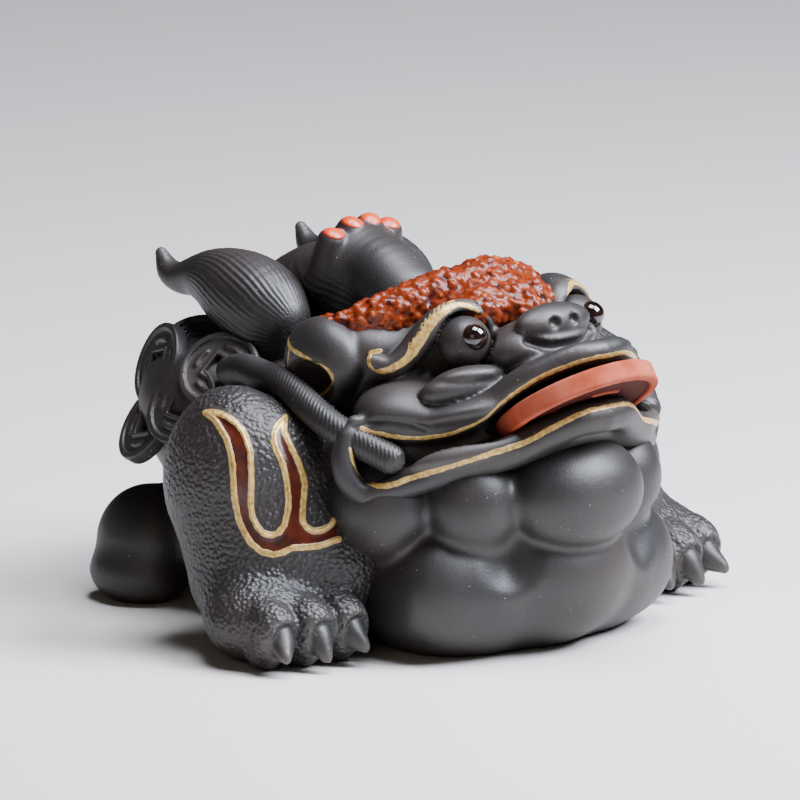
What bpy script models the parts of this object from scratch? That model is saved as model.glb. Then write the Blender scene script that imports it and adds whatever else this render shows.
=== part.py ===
"""Fortune toad tea pet: a hollow, hand-modelled figure of fired dark clay with a loose coin in its mouth.

Blender 4.5, metres, +Z up. The toad faces -Y and +X is its own left side. The origin is on the table under
the middle of the body. Sizes below are in millimetres, and MM turns them into metres where a mesh is made.
The figure is built the way it is modelled by hand: lumps and rolls of clay are pressed together and smoothed
over on a grid of distances to the skin, then cut for the coin, the beads, the flat base and the hollow.
Forms are given for the toad's left side, and the right side is their mirror image.
"""

import math

import bmesh
import bpy
import numpy as np
from mathutils import Matrix, Vector

MM = 0.001
NAME = "fortune_toad"

# Clearance between the body and each separate piece
SEAT_GAP = 0.3

# A lump in a table is: centre, half sizes, tilt about X in degrees, how far its join is smoothed over
TRUNK = {
    "barrel": ((0.0, 13.0, 26.0), (32.0, 33.0, 22.0), 0.0, 0.0),
    "foot pad": ((0.0, 6.0, 12.0), (33.0, 36.0, 16.0), 0.0, 4.0),
    "flank": ((19.5, 27.0, 34.0), (12.0, 15.0, 12.5), 0.0, 4.0),
    "belly": ((0.0, -27.5, 14.0), (28.0, 22.0, 17.0), 0.0, 4.0),
    "belly fold": ((15.0, -27.0, 9.5), (15.0, 18.0, 11.0), 0.0, 4.0),
    "chest": ((0.0, -18.0, 28.0), (33.0, 17.0, 13.0), 0.0, 3.0),
    "haunch": ((27.0, 35.0, 10.0), (9.5, 10.0, 10.0), 0.0, 3.0),
    "hind foot": ((30.0, 35.0, 5.0), (8.0, 9.5, 6.0), 0.0, 2.0),
    "middle throat lobe": ((0.0, -45.2, 28.0), (13.6, 9.6, 10.0), 0.0, 1.5),
    "side throat lobe": ((16.5, -36.8, 27.2), (8.6, 8.6, 9.0), 0.0, 2.2),
    "jowl": ((26.7, -24.0, 26.2), (8.6, 10.5, 9.6), 0.0, 2.2),
}

# Head, tipped back so that the mouth points up
HEAD = {
    "skull": ((0.0, -15.0, 45.5), (25.5, 17.0, 11.5), 0.0, 0.0),
    "crown": ((0.0, -19.0, 53.5), (18.5, 12.5, 8.2), 0.0, 4.0),
    "face": ((0.0, -30.5, 41.5), (26.5, 18.0, 4.5), -16.0, 3.0),
    "snout": ((0.0, -43.5, 48.6), (13.5, 9.0, 4.4), -22.0, 3.0),
    "jaw": ((0.0, -30.0, 34.0), (29.0, 20.0, 6.0), -16.0, 3.0),
    "cheek": ((22.5, -26.0, 42.4), (9.2, 8.0, 5.4), 0.0, 3.0),
    "temple": ((19.5, -14.5, 51.5), (8.0, 7.5, 5.5), 0.0, 3.0),
}
MUZZLE = {
    "muzzle": ((0.0, -38.8, 52.4), (12.0, 9.2, 5.6), -16.0, 1.0),
    "nose pad": ((0.0, -39.2, 56.8), (7.6, 3.6, 3.3), 28.0, 0.7),
}
EAR = {
    "ear": ((27.0, -10.5, 49.5), (5.6, 8.4, 7.8), 0.0, 0.8),
}
EAR_HOLLOW = ((33.2, -12.0, 46.4), (4.6, 5.4, 4.4), 0.0, 0.5)
NOSTRIL = ((2.2, -42.8, 57.6), (1.2, 1.6, 1.2), 0.0, 0.3)

# Lips from the middle of the mouth to its corner: across, back from the front of the lips, height, radius
LIP_FRONT = -53.5
UPPER_LIP = (
    (0.0, 1.9, 54.0, 2.1), (4.5, 3.0, 53.7, 2.1), (9.0, 6.1, 51.6, 2.1), (13.5, 10.4, 48.2, 2.0),
    (18.0, 15.0, 42.9, 2.0), (22.5, 19.8, 40.4, 1.9), (27.0, 24.1, 40.2, 1.7), (31.0, 27.1, 40.8, 1.6),
    (33.0, 28.4, 41.7, 1.5),
)
LOWER_LIP = (
    (0.0, 1.8, 42.6, 3.0), (4.5, 2.7, 42.3, 2.9), (9.0, 5.7, 40.1, 2.9), (13.5, 9.0, 37.3, 2.7),
    (18.0, 12.4, 35.5, 2.6), (22.5, 16.3, 33.7, 2.5), (27.0, 20.4, 31.7, 2.4), (31.0, 24.5, 30.0, 2.3),
    (33.0, 26.4, 29.7, 2.2), (35.0, 27.9, 32.0, 2.2), (35.6, 28.7, 35.6, 2.1), (34.4, 28.9, 39.4, 1.8),
)
LIP_BLEND = 1.4

# Mouth: a groove between the lips, and the deep opening that the coin lies in
MOUTH_GROOVE = (
    (0.0, 1.2, 48.9, 2.6), (4.5, 2.3, 48.6, 2.6), (9.0, 5.3, 46.4, 2.6), (13.5, 9.1, 43.3, 2.6),
    (18.0, 13.1, 39.7, 2.6), (22.5, 17.5, 37.5, 2.6), (27.0, 21.7, 36.4, 2.6), (31.0, 25.2, 36.0, 2.6),
    (33.0, 26.9, 36.5, 2.6),
)
MOUTH_ROOM = ((0.0, 8.0, 45.0), (17.5, 15.5, 4.6), -34.0, 1.0)
COIN_R = 14.6
COIN_T = 3.6
COIN_RIM_W = 1.7
COIN_RELIEF = 0.45
COIN_AT = (0.0, LIP_FRONT + 7.9, 43.6)
COIN_PITCH = 34.0
COIN_ROOM_ABOVE = 1.3
COIN_ROOM_AROUND = 0.9
COIN_STEPS = 44

# Eyes: a ball in its socket with a glossy bead let into it, two bags below it and the brow above.
# The socket and the bags are placed outwards, forwards and upwards from the middle of the ball
EYE_AT = (13.0, -31.0, 54.0)
EYE_R = 4.7
EYE_LOOK = (0.175, -0.887, 0.433)
SOCKET_AT = (0.2, 1.4, 0.2)
SOCKET_R = 5.1
BEAD_R = 2.4
BEAD_SUNK = 1.0
EYE_BAGS = (
    ((4.6, 0.2, -6.3), (9.1, 4.2, 5.6), 1.0),
    ((2.8, 1.2, -3.8), (7.3, 4.2, 4.3), 0.4),
)
BROW = (
    (25.6, -21.6, 51.0, 1.4), (23.4, -23.6, 50.2, 1.9), (20.4, -25.1, 52.4, 2.3), (17.9, -26.4, 55.7, 2.4),
    (15.6, -27.6, 57.8, 2.4), (12.8, -28.6, 58.9, 2.3), (10.4, -29.8, 58.9, 2.1), (8.6, -30.8, 57.8, 1.7),
    (7.6, -31.6, 55.8, 1.3), (7.6, -32.6, 53.6, 0.9),
)
BROW_BLEND = 1.0

# Front legs, their toes and claws
LEGS = {
    "shoulder": ((40.0, -2.0, 29.0), (11.5, 14.0, 16.5), 0.0, 0.0),
    "forearm": ((40.5, -6.5, 15.0), (10.5, 12.0, 14.0), 0.0, 4.0),
    "paw": ((43.5, -14.5, 7.5), (12.0, 10.5, 8.0), 0.0, 4.0),
    "armpit": ((30.0, -12.0, 16.0), (13.0, 14.0, 14.0), 0.0, 3.0),
    "upper arm": ((34.0, -7.0, 29.0), (10.5, 12.0, 13.5), 0.0, 3.0),
    "elbow": ((36.2, -9.8, 18.0), (10.4, 11.6, 14.5), 0.0, 3.0),
}
# Knuckle across and back, then the claw's tip
TOES = (
    ((49.6, -22.4), (51.4, -28.4, 3.0)),
    ((43.0, -24.8), (43.8, -30.4, 2.4)),
    ((36.0, -25.6), (35.8, -31.2, 3.0)),
)
TOE_ROLL = ((-1.0, 7.0, 9.5, 3.4), (0.0, 1.0, 8.6, 4.0), (0.2, -0.6, 6.6, 4.0), (0.0, 2.0, 3.6, 3.6))
TOE_HOOD = ((0.3, -4.2, 6.2), (2.9, 2.2, 3.6), 24.0, 0.3)
CLAW_ROOT = ((0.1, -0.5, 7.4, 2.9), (0.4, -2.4, 5.6, 2.5))
CLAW_TIP_R = 0.5
TOE_BLEND = 0.8

# Rope from each mouth corner over the shoulder to the coins
ROPE_R = 2.6
ROPE = (
    (29.0, -33.0, 35.0), (34.0, -20.8, 40.5), (33.0, -8.0, 45.2), (31.0, 1.0, 45.6), (28.0, 9.5, 45.0),
    (25.0, 17.5, 42.6),
)

# Plumes of hair that rise behind the head and flick up at the rear: middle of the lock and its radius
PLUME = (
    (15.0, 15.0, 51.5, 5.5), (15.0, 19.0, 53.0, 7.4), (15.2, 24.0, 54.4, 7.4), (15.6, 29.5, 55.8, 5.6),
    (16.0, 34.5, 55.8, 3.8), (16.2, 39.0, 54.8, 2.8), (16.4, 42.2, 55.6, 2.2), (16.4, 44.4, 58.4, 1.1),
)
PLUME_ROOT = ((14.0, 19.0, 47.0), (6.5, 8.0, 7.0), 0.0, 3.0)

# Third leg: it curls up over the back and sets its foot behind the crown
THIRD_LEG = (
    (0.0, 40.0, 24.0, 11.0), (0.0, 37.0, 38.0, 9.5), (0.0, 29.0, 48.0, 8.5), (0.0, 20.0, 54.0, 8.0),
    (0.0, 11.0, 54.5, 8.0),
)
FOOT_TOES = (
    ((2.2, 13.5, 58.0, 4.2), (3.0, 10.6, 63.0, 3.8), (3.2, 9.2, 65.4, 3.2)),
    ((7.2, 13.5, 56.0, 4.2), (8.6, 10.8, 60.0, 3.8), (9.2, 9.6, 62.4, 3.1)),
)
FOOT_BLEND = 0.7

# Raised gravelly glaze over the crown: a band from ear to ear, and a tongue towards the nose
PATCH = (
    (26.5, -9.5, 55.4, 1.8), (24.0, -13.0, 55.6, 2.8), (19.0, -16.5, 57.2, 4.0), (13.5, -19.0, 58.6, 4.4),
    (7.0, -21.0, 60.2, 4.6), (0.0, -22.5, 60.6, 4.7),
)
PATCH_TONGUE = (
    (0.0, -22.5, 60.3, 4.8), (0.0, -30.0, 58.6, 4.4), (0.0, -35.0, 56.6, 3.0), (0.0, -37.4, 55.6, 1.6),
)
PATCH_SPREAD = ((6.0, -28.0, 58.5), (6.0, 5.0, 4.0), 0.0, 2.0)
TONGUE_BLEND = 3.0

# Coins heaped on each flank: centre, the way the face looks
PILE_COIN_R = 7.4
PILE_COIN_T = 2.6
PILE_HOLE = 4.2
PILE_RIM_W = 1.2
PILE_RELIEF = 0.5
PILE_COIN_STEPS = 14
PILE = (
    ((25.2, 18.8, 42.6), (0.69, -0.31, 0.65)),
    ((30.3, 22.5, 36.4), (0.80, -0.05, 0.55)),
    ((30.7, 31.3, 32.0), (0.80, 0.28, 0.53)),
    ((25.6, 34.0, 41.4), (0.88, 0.30, 0.36)),
    ((20.0, 30.5, 43.6), (0.55, -0.30, 0.78)),
    ((21.5, 39.0, 35.0), (0.50, 0.66, 0.56)),
)

# Hollow and its vent
HOLLOW_AT = (0.0, 9.0, 24.0)
HOLLOW_HALF = (27.0, 26.0, 17.0)
VENT_R = 4.5
VENT_Y = 14.0

# How finely the clay is modelled
GRAIN = 0.75
CLAY_REACH = ((0.0, -61.0, -1.0), (58.0, 54.0, 72.0))
PRESS_BLEND = 1.0
EASING_STEPS = 4
SOFTENING_STEPS = 2
BODY_FACETS = 7450
ROUND_STEPS = 24
BEAD_STEPS = 14
SHARP_ANGLE = 35.0


def material(name, colour, roughness):
    made = bpy.data.materials.new(name)
    made.use_nodes = True
    shader = made.node_tree.nodes["Principled BSDF"]
    shader.inputs["Base Color"].default_value = (*colour, 1.0)
    shader.inputs["Roughness"].default_value = roughness
    return made


def metres(point):
    return Vector(point) * MM


def aim(direction):
    """Rotation that turns +Z to the direction."""
    return Vector(direction).normalized().to_track_quat("Z", "Y").to_matrix().to_4x4()


def smooth_min(one, two, blend):
    """The lower of two distances, with the corner between them rounded over."""
    if blend <= 0:
        return np.minimum(one, two)
    near = np.maximum(blend - np.abs(one - two), 0.0) / blend
    return np.minimum(one, two) - near * near * blend / 4


def lump(centre, half, tilt=0.0, axes=None):
    """An egg-shaped lump of clay. Returns its lowest and highest corner and its distance."""
    centre = np.array(centre)
    half = np.array(half)
    turn = np.array(Matrix.Rotation(math.radians(tilt), 3, "X")) if axes is None else axes
    reach = np.sqrt(((turn * half) ** 2).sum(axis=1))

    def distance(x, y, z):
        off = (x - centre[0], y - centre[1], z - centre[2])
        own = [sum(turn[k, i] * off[k] for k in range(3)) for i in range(3)]
        one = np.sqrt(sum((own[i] / half[i]) ** 2 for i in range(3)))
        two = np.sqrt(sum((own[i] / half[i] ** 2) ** 2 for i in range(3)))
        return one * (one - 1.0) / np.maximum(two, 1e-6)

    return centre - reach, centre + reach, distance


def eased(points, steps):
    """A smooth run through the points, with steps between each two of them."""
    points = np.array(points, float)
    ends = np.vstack([2 * points[0] - points[1], points, 2 * points[-1] - points[-2]])
    made = []
    for i in range(1, len(ends) - 2):
        a, b, c, d = ends[i - 1:i + 3]
        for k in range(steps):
            t = k / steps
            bend = (2 * a - 5 * b + 4 * c - d) * t ** 2 + (3 * b - a - 3 * c + d) * t ** 3
            made.append((2 * b + (c - a) * t + bend) / 2)
    made.append(points[-1])
    return np.array(made)


def roll(points):
    """A roll of clay through points (x, y, z, radius): its lowest and highest corner and its distance."""
    run = eased(points, EASING_STEPS)
    size = run[:, 3:]

    def distance(x, y, z):
        best = None
        for one, two in zip(run, run[1:]):
            way = two - one
            length = max(way[:3] @ way[:3], 1e-9)
            off = (x - one[0], y - one[1], z - one[2])
            along = np.clip(sum(off[i] * way[i] for i in range(3)) / length, 0.0, 1.0)
            gap = np.sqrt(sum((off[i] - along * way[i]) ** 2 for i in range(3))) - one[3] - along * way[3]
            best = gap if best is None else np.minimum(best, gap)
        return best

    return (run[:, :3] - size).min(axis=0), (run[:, :3] + size).max(axis=0), distance


class Clay:
    """The left half of a heap of clay, as a grid of distances to its skin that are below zero inside."""

    def __init__(self):
        low, high = CLAY_REACH
        self.axes = [np.arange(a + GRAIN / 2, b, GRAIN) for a, b in zip(low, high)]
        self.field = np.full([len(axis) for axis in self.axes], 40.0)

    def work(self, shape, blend, cut):
        """Adds or cuts a shape and its mirror image, within reach of it."""
        low, high, distance = shape
        margin = blend + 4 * GRAIN
        bounds = zip(self.axes, low, high)
        spans = tuple(slice(*np.searchsorted(axis, (a - margin, b + margin))) for axis, a, b in bounds)
        x, y, z = (axis[span] for axis, span in zip(self.axes, spans))
        x, y, z = x[:, None, None], y[None, :, None], z[None, None, :]
        gap = distance(x, y, z)
        if low[0] < margin:
            gap = np.minimum(gap, distance(-x, y, z))
        old = self.field[spans]
        self.field[spans] = -smooth_min(-old, gap, blend) if cut else smooth_min(old, gap, blend)

    def add(self, shape, blend=0.0):
        self.work(shape, blend, False)

    def cut(self, shape, blend=0.0):
        self.work(shape, blend, True)

    def add_lumps(self, table):
        for centre, half, tilt, blend in table.values():
            self.add(lump(centre, half, tilt), blend)

    def press_on(self, other):
        """Presses another heap of clay onto this one."""
        self.field = smooth_min(self.field, other.field, PRESS_BLEND)

    def skin(self):
        """Points and four-sided faces of the skin on both sides, from the cells that it passes through."""
        field = np.concatenate([self.field[::-1], self.field], axis=0)
        field = np.pad(field, 1, constant_values=GRAIN)
        low = np.array([-self.axes[0][-1], self.axes[1][0], self.axes[2][0]]) - GRAIN
        solid = field < 0
        corners = [np.array(corner) for corner in np.ndindex(2, 2, 2)]
        count = sum(solid[tuple(slice(c, c - 1 or None) for c in corner)].astype(int) for corner in corners)
        crossed = (count > 0) & (count < len(corners))
        cells = np.argwhere(crossed)
        number = np.full(crossed.shape, -1)
        number[crossed] = np.arange(len(cells))
        values = [field[tuple((cells + corner).T)] for corner in corners]
        total = np.zeros((len(cells), 3))
        hits = np.zeros((len(cells), 1))
        for i, one in enumerate(corners):
            for k, two in enumerate(corners[:i]):
                if np.abs(two - one).sum() != 1:
                    continue
                passed = ((values[i] < 0) != (values[k] < 0))[:, None]
                drop = np.where(passed[:, 0], values[i] - values[k], 1.0)
                total += passed * (one + (values[i] / drop)[:, None] * (two - one))
                hits += passed
        points = low + (cells + total / hits) * GRAIN
        faces = []
        for axis in range(3):
            near = [slice(None)] * 3
            near[axis] = slice(None, -1)
            far = [slice(None)] * 3
            far[axis] = slice(1, None)
            edges = np.argwhere(solid[tuple(near)] != solid[tuple(far)])
            ring = []
            for one, two in ((-1, -1), (0, -1), (0, 0), (-1, 0)):
                shift = np.zeros(3, int)
                shift[(axis + 1) % 3] = one
                shift[(axis + 2) % 3] = two
                ring.append(number[tuple((edges + shift).T)])
            quads = np.stack(ring, axis=1)
            inward = ~solid[tuple(edges.T)]
            quads[inward] = quads[inward][:, ::-1]
            faces.append(quads)
        return points, np.concatenate(faces)


def add_object(name, mesh, collection, finish=None):
    made = bpy.data.objects.new(name, mesh)
    collection.objects.link(made)
    if finish:
        mesh.materials.append(finish)
    return made


def mesh_from(name, shape):
    mesh = bpy.data.meshes.new(name)
    shape.to_mesh(mesh)
    shape.free()
    return mesh


def settle(made):
    """Turns an object's modifiers into its plain mesh."""
    old = made.data
    finish = list(old.materials)
    mesh = bpy.data.meshes.new_from_object(made.evaluated_get(bpy.context.evaluated_depsgraph_get()))
    made.modifiers.clear()
    made.data = mesh
    bpy.data.meshes.remove(old)
    mesh.materials.clear()
    for item in finish:
        mesh.materials.append(item)


def boolean(made, other, operation):
    """Cuts or joins one shape, then clears the other away."""
    step = made.modifiers.new(other.name, "BOOLEAN")
    step.operation = operation
    step.object = other
    step.solver = "EXACT"
    settle(made)
    mesh = other.data
    bpy.data.objects.remove(other)
    bpy.data.meshes.remove(mesh)


def fill_pockets(made):
    """Keeps the outer skin only, so that no pocket between two lumps stays sealed in the clay."""
    shape = bmesh.new()
    shape.from_mesh(made.data)
    left = set(shape.verts)
    skins = []
    while left:
        skin = {left.pop()}
        edge = list(skin)
        while edge:
            vert = edge.pop()
            for link in vert.link_edges:
                other = link.other_vert(vert)
                if other in left:
                    left.discard(other)
                    skin.add(other)
                    edge.append(other)
        skins.append(skin)
    skins.sort(key=len)
    inner = [vert for skin in skins[:-1] for vert in skin]
    bmesh.ops.delete(shape, geom=inner, context="VERTS")
    shape.to_mesh(made.data)
    shape.free()


def helper(name, shape, cutters):
    made = add_object(name, mesh_from(name, shape), cutters)
    made.hide_render = True
    made.display_type = "WIRE"
    return made


def egg_helper(name, centre, half, cutters):
    shape = bmesh.new()
    place = Matrix.Translation(metres(centre)) @ Matrix.Diagonal((*metres(half), 1.0))
    rings = ROUND_STEPS // 2
    bmesh.ops.create_uvsphere(shape, u_segments=ROUND_STEPS, v_segments=rings, radius=1.0, matrix=place)
    return helper(name, shape, cutters)


def drum_helper(name, centre, direction, radius, low, high, cutters, steps=ROUND_STEPS):
    """A cylinder along a direction, from low to high as measured from the centre."""
    shape = bmesh.new()
    place = (
        Matrix.Translation(metres(centre))
        @ aim(direction)
        @ Matrix.Translation((0, 0, (low + high) / 2 * MM))
    )
    bmesh.ops.create_cone(
        shape, cap_ends=True, segments=steps, radius1=radius * MM, radius2=radius * MM,
        depth=(high - low) * MM, matrix=place,
    )
    return helper(name, shape, cutters)


def turned(name, profile, steps, collection):
    """A solid turned about its own Z axis from a profile of (radius, height) points, top to bottom."""
    shape = bmesh.new()
    corners = [shape.verts.new(metres((radius, 0.0, height))) for radius, height in profile]
    for a, b in zip(corners, corners[1:]):
        shape.edges.new((a, b))
    made = add_object(name, mesh_from(name, shape), collection)
    spin = made.modifiers.new("turn", "SCREW")
    spin.steps = steps
    spin.render_steps = steps
    spin.use_merge_vertices = True
    spin.merge_threshold = 0.00001
    settle(made)
    return made


def coin_profile(radius, thick, rim, relief, plain_back=False):
    """Half section of a coin with a raised rim on its face, and on its back unless that is plain."""
    half = thick / 2
    inner = radius - rim
    back = [(radius, -half)] if plain_back else [(radius, -half), (inner, -half), (inner, relief - half)]
    return [
        (0.0, half - relief), (inner, half - relief), (inner, half), (radius, half),
        *back, (0.0, back[-1][1]),
    ]


def model_trunk():
    clay = Clay()
    clay.add_lumps(TRUNK)
    return clay


def from_front(rows):
    """Rows across the mouth, with their second number turned from a distance behind the lips to a place."""
    return [(x, LIP_FRONT + back, *rest) for x, back, *rest in rows]


def eye_axes():
    """The eyeball's outer, forward and upper direction as columns."""
    look = np.array(EYE_LOOK) / np.linalg.norm(EYE_LOOK)
    out = np.cross((0.0, 0.0, 1.0), look)
    out /= np.linalg.norm(out)
    return np.stack([out, look, np.cross(look, out)], axis=1)


def from_eye(spot):
    """A place given outwards, forwards and upwards from the middle of the eyeball."""
    return np.array(EYE_AT) + eye_axes() @ np.array(spot)


def model_head():
    clay = Clay()
    clay.add_lumps(HEAD)
    clay.cut(roll(from_front(MOUTH_GROOVE)), LIP_BLEND)
    centre, half, tilt, blend = MOUTH_ROOM
    clay.cut(lump(from_front([centre])[0], half, tilt), blend)
    clay.add(roll(from_front(UPPER_LIP)), LIP_BLEND)
    clay.add(roll(from_front(LOWER_LIP)), LIP_BLEND)
    clay.add_lumps(MUZZLE)
    for spot, half, blend in EYE_BAGS:
        clay.add(lump(from_eye(spot), half, axes=eye_axes()), blend)
    clay.add(roll(BROW), BROW_BLEND)
    clay.cut(lump(from_eye(SOCKET_AT), (SOCKET_R, SOCKET_R, SOCKET_R)))
    clay.add(lump(EYE_AT, (EYE_R, EYE_R, EYE_R)))
    clay.add_lumps(EAR)
    for centre, half, tilt, blend in (EAR_HOLLOW, NOSTRIL):
        clay.cut(lump(centre, half, tilt), blend)
    return clay


def model_legs():
    clay = Clay()
    clay.add_lumps(LEGS)
    centre, half, tilt, hood_blend = TOE_HOOD
    for (x, y), (tip_x, tip_y, tip_z) in TOES:
        clay.add(roll([(x + across, y + back, z, r) for across, back, z, r in TOE_ROLL]), TOE_BLEND)
        clay.cut(lump((x + centre[0], y + centre[1], centre[2]), half, tilt), hood_blend)
        claw = [(x + across, y + back, z, r) for across, back, z, r in CLAW_ROOT]
        clay.add(roll(claw + [(tip_x, tip_y, tip_z, CLAW_TIP_R)]))
    return clay


def model_back_dress():
    """Ropes, plumes and the raised third leg."""
    clay = Clay()
    clay.add(roll([(*spot, ROPE_R) for spot in ROPE]))
    clay.add(roll(PLUME))
    centre, half, tilt, blend = PLUME_ROOT
    clay.add(lump(centre, half, tilt), blend)
    clay.add(roll(THIRD_LEG))
    for toe in FOOT_TOES:
        clay.add(roll(toe), FOOT_BLEND)
    return clay


def model_patch():
    clay = Clay()
    clay.add(roll(PATCH))
    clay.add(roll(PATCH_TONGUE), TONGUE_BLEND)
    centre, half, tilt, blend = PATCH_SPREAD
    clay.add(lump(centre, half, tilt), blend)
    return clay


def body_of_clay(collection, finish):
    """Presses every heap of clay together, smooths the skin and thins the facets."""
    clay = model_trunk()
    for heap in (model_head(), model_legs(), model_back_dress(), model_patch()):
        clay.press_on(heap)
    points, faces = clay.skin()
    mesh = bpy.data.meshes.new("toad_body")
    mesh.from_pydata((points * MM).tolist(), [], faces.tolist())
    body = add_object("toad_body", mesh, collection, finish)
    even = body.modifiers.new("even out", "REMESH")
    even.mode = "VOXEL"
    even.voxel_size = GRAIN * MM
    soft = body.modifiers.new("smooth over", "SMOOTH")
    soft.factor = 0.5
    soft.iterations = SOFTENING_STEPS
    settle(body)
    fill_pockets(body)
    facets = sum(len(face.vertices) - 2 for face in body.data.polygons)
    thin = body.modifiers.new("thin out", "DECIMATE")
    thin.ratio = min(1.0, BODY_FACETS / facets)
    thin.use_collapse_triangulate = True
    settle(body)
    return body


def coin_axis():
    """The way the mouth coin's upper face looks."""
    slope = math.radians(COIN_PITCH)
    return Vector((0.0, math.sin(slope), math.cos(slope)))


def cut_coin_room(body, cutters):
    room = drum_helper("coin_room", COIN_AT, coin_axis(), COIN_R + COIN_ROOM_AROUND, -COIN_T / 2 - SEAT_GAP,
                       COIN_T / 2 + COIN_ROOM_ABOVE, cutters)
    boolean(body, room, "DIFFERENCE")


def bead_place(sign):
    look = Vector((EYE_LOOK[0] * sign, *EYE_LOOK[1:])).normalized()
    centre = Vector((EYE_AT[0] * sign, *EYE_AT[1:])) + look * (EYE_R - BEAD_SUNK)
    return centre, look


def eye_beads(body, collection, cutters, finish):
    for side, sign in (("left", 1.0), ("right", -1.0)):
        centre, look = bead_place(sign)
        ball = bmesh.new()
        place = Matrix.Translation(centre * MM) @ aim(look)
        rings = BEAD_STEPS // 2 + 1
        bmesh.ops.create_uvsphere(
            ball, u_segments=BEAD_STEPS, v_segments=rings, radius=BEAD_R * MM, matrix=place,
        )
        bead = add_object(side + "_pupil_bead", mesh_from("bead", ball), collection, finish)
        bead.data.shade_smooth()
        socket = drum_helper("bead_socket", centre, look, BEAD_R + SEAT_GAP, -BEAD_R - SEAT_GAP, BEAD_R * 2,
                             cutters, steps=BEAD_STEPS + 2)
        boolean(body, socket, "DIFFERENCE")


def square_hole(piece, centre, direction, width, cutters):
    """Cuts a square hole right through a coin."""
    shape = bmesh.new()
    place = (
        Matrix.Translation(metres(centre))
        @ aim(direction)
        @ Matrix.Diagonal((*metres((width, width, PILE_COIN_T * 2)), 1.0))
    )
    bmesh.ops.create_cube(shape, size=1.0, matrix=place)
    boolean(piece, helper("square_hole", shape, cutters), "DIFFERENCE")


def coin_pile(body, collection, cutters):
    """Presses the heaped coins into the body's flanks."""
    profile = coin_profile(PILE_COIN_R, PILE_COIN_T, PILE_RIM_W, PILE_RELIEF, plain_back=True)
    for centre, way in PILE:
        for sign in (1.0, -1.0):
            spot = (centre[0] * sign, *centre[1:])
            look = (way[0] * sign, *way[1:])
            coin = turned("pile_coin", profile, PILE_COIN_STEPS, collection)
            coin.data.transform(Matrix.Translation(metres(spot)) @ aim(look))
            square_hole(coin, spot, look, PILE_HOLE, cutters)
            boolean(body, coin, "UNION")


def mouth_coin(collection, finish):
    """The loose coin. Its marks are left bare."""
    profile = coin_profile(COIN_R, COIN_T, COIN_RIM_W, COIN_RELIEF)
    coin = turned("mouth_coin", profile, COIN_STEPS, collection)
    coin.data.transform(Matrix.Translation(metres(COIN_AT)) @ aim(coin_axis()))
    coin.data.materials.append(finish)
    return coin


def base_and_hollow(body, cutters):
    """Trims the base flat at Z = 0, then opens the hollow and its vent."""
    slab = bmesh.new()
    reach = max(CLAY_REACH[1]) * 3
    place = (
        Matrix.Translation(metres((0.0, 0.0, -reach / 2)))
        @ Matrix.Diagonal((*metres((reach, reach, reach)), 1.0))
    )
    bmesh.ops.create_cube(slab, size=1.0, matrix=place)
    boolean(body, helper("base_trim", slab, cutters), "DIFFERENCE")
    hollow = egg_helper("hollow", HOLLOW_AT, HOLLOW_HALF, cutters)
    vent = drum_helper("vent", (0.0, VENT_Y, 0.0), (0, 0, 1), VENT_R, -VENT_R, HOLLOW_AT[2], cutters)
    boolean(hollow, vent, "UNION")
    boolean(body, hollow, "DIFFERENCE")


def build():
    for old in list(bpy.data.objects):
        bpy.data.objects.remove(old)
    scene = bpy.context.scene.collection
    parts = bpy.data.collections.new(NAME)
    cutters = bpy.data.collections.new("cutters")
    scene.children.link(parts)
    scene.children.link(cutters)
    dark_clay = material("dark fired clay", (0.045, 0.043, 0.045), 0.5)
    red_clay = material("red fired clay", (0.35, 0.1, 0.06), 0.6)
    gloss_bead = material("black glazed bead", (0.01, 0.006, 0.005), 0.08)
    body = body_of_clay(parts, dark_clay)
    coin_pile(body, parts, cutters)
    cut_coin_room(body, cutters)
    eye_beads(body, parts, cutters, gloss_bead)
    base_and_hollow(body, cutters)
    fill_pockets(body)
    mouth_coin(parts, red_clay)
    for made in parts.objects:
        made.data.shade_smooth()
        made.data.set_sharp_from_angle(angle=math.radians(SHARP_ANGLE))


build()
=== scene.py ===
"""Fortune toad tea pet: its finished looks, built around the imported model.

The toad faces -Y, +X is its own left side and +Z is up. Shapes are worked in millimetres as half a block
of clay that is mirrored at the toad's middle plane, and turn into metres with their mesh. Lines on the skin
are drawn flat, as seen by someone in front of the toad's left shoulder, and laid onto the clay from there.
"""

import functools
import math

import bmesh
import bpy
import numpy as np
from mathutils import Matrix, Vector


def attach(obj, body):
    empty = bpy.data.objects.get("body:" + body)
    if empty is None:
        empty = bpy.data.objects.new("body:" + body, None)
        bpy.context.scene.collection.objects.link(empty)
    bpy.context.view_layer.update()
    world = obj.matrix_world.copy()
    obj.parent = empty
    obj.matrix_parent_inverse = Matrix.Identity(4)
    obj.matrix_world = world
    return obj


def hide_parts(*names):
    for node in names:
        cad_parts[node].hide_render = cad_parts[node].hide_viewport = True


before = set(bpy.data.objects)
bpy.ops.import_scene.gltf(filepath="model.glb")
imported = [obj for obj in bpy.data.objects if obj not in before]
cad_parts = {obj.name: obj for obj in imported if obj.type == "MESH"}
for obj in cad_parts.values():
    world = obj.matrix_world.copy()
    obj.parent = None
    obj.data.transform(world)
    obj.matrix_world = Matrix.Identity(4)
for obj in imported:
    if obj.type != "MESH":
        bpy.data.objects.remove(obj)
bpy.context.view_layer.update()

bl_info = {
    "name": "Fortune Toad Tea Pet",
    "version": (1, 0, 0),
    "blender": (4, 5, 0),
    "location": "3D View > Sidebar > Tea Pet",
    "description": "Builds a hand-modelled clay toad with its coins, ropes, glaze and gold lines",
    "category": "Object",
}

MM = 0.001

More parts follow.
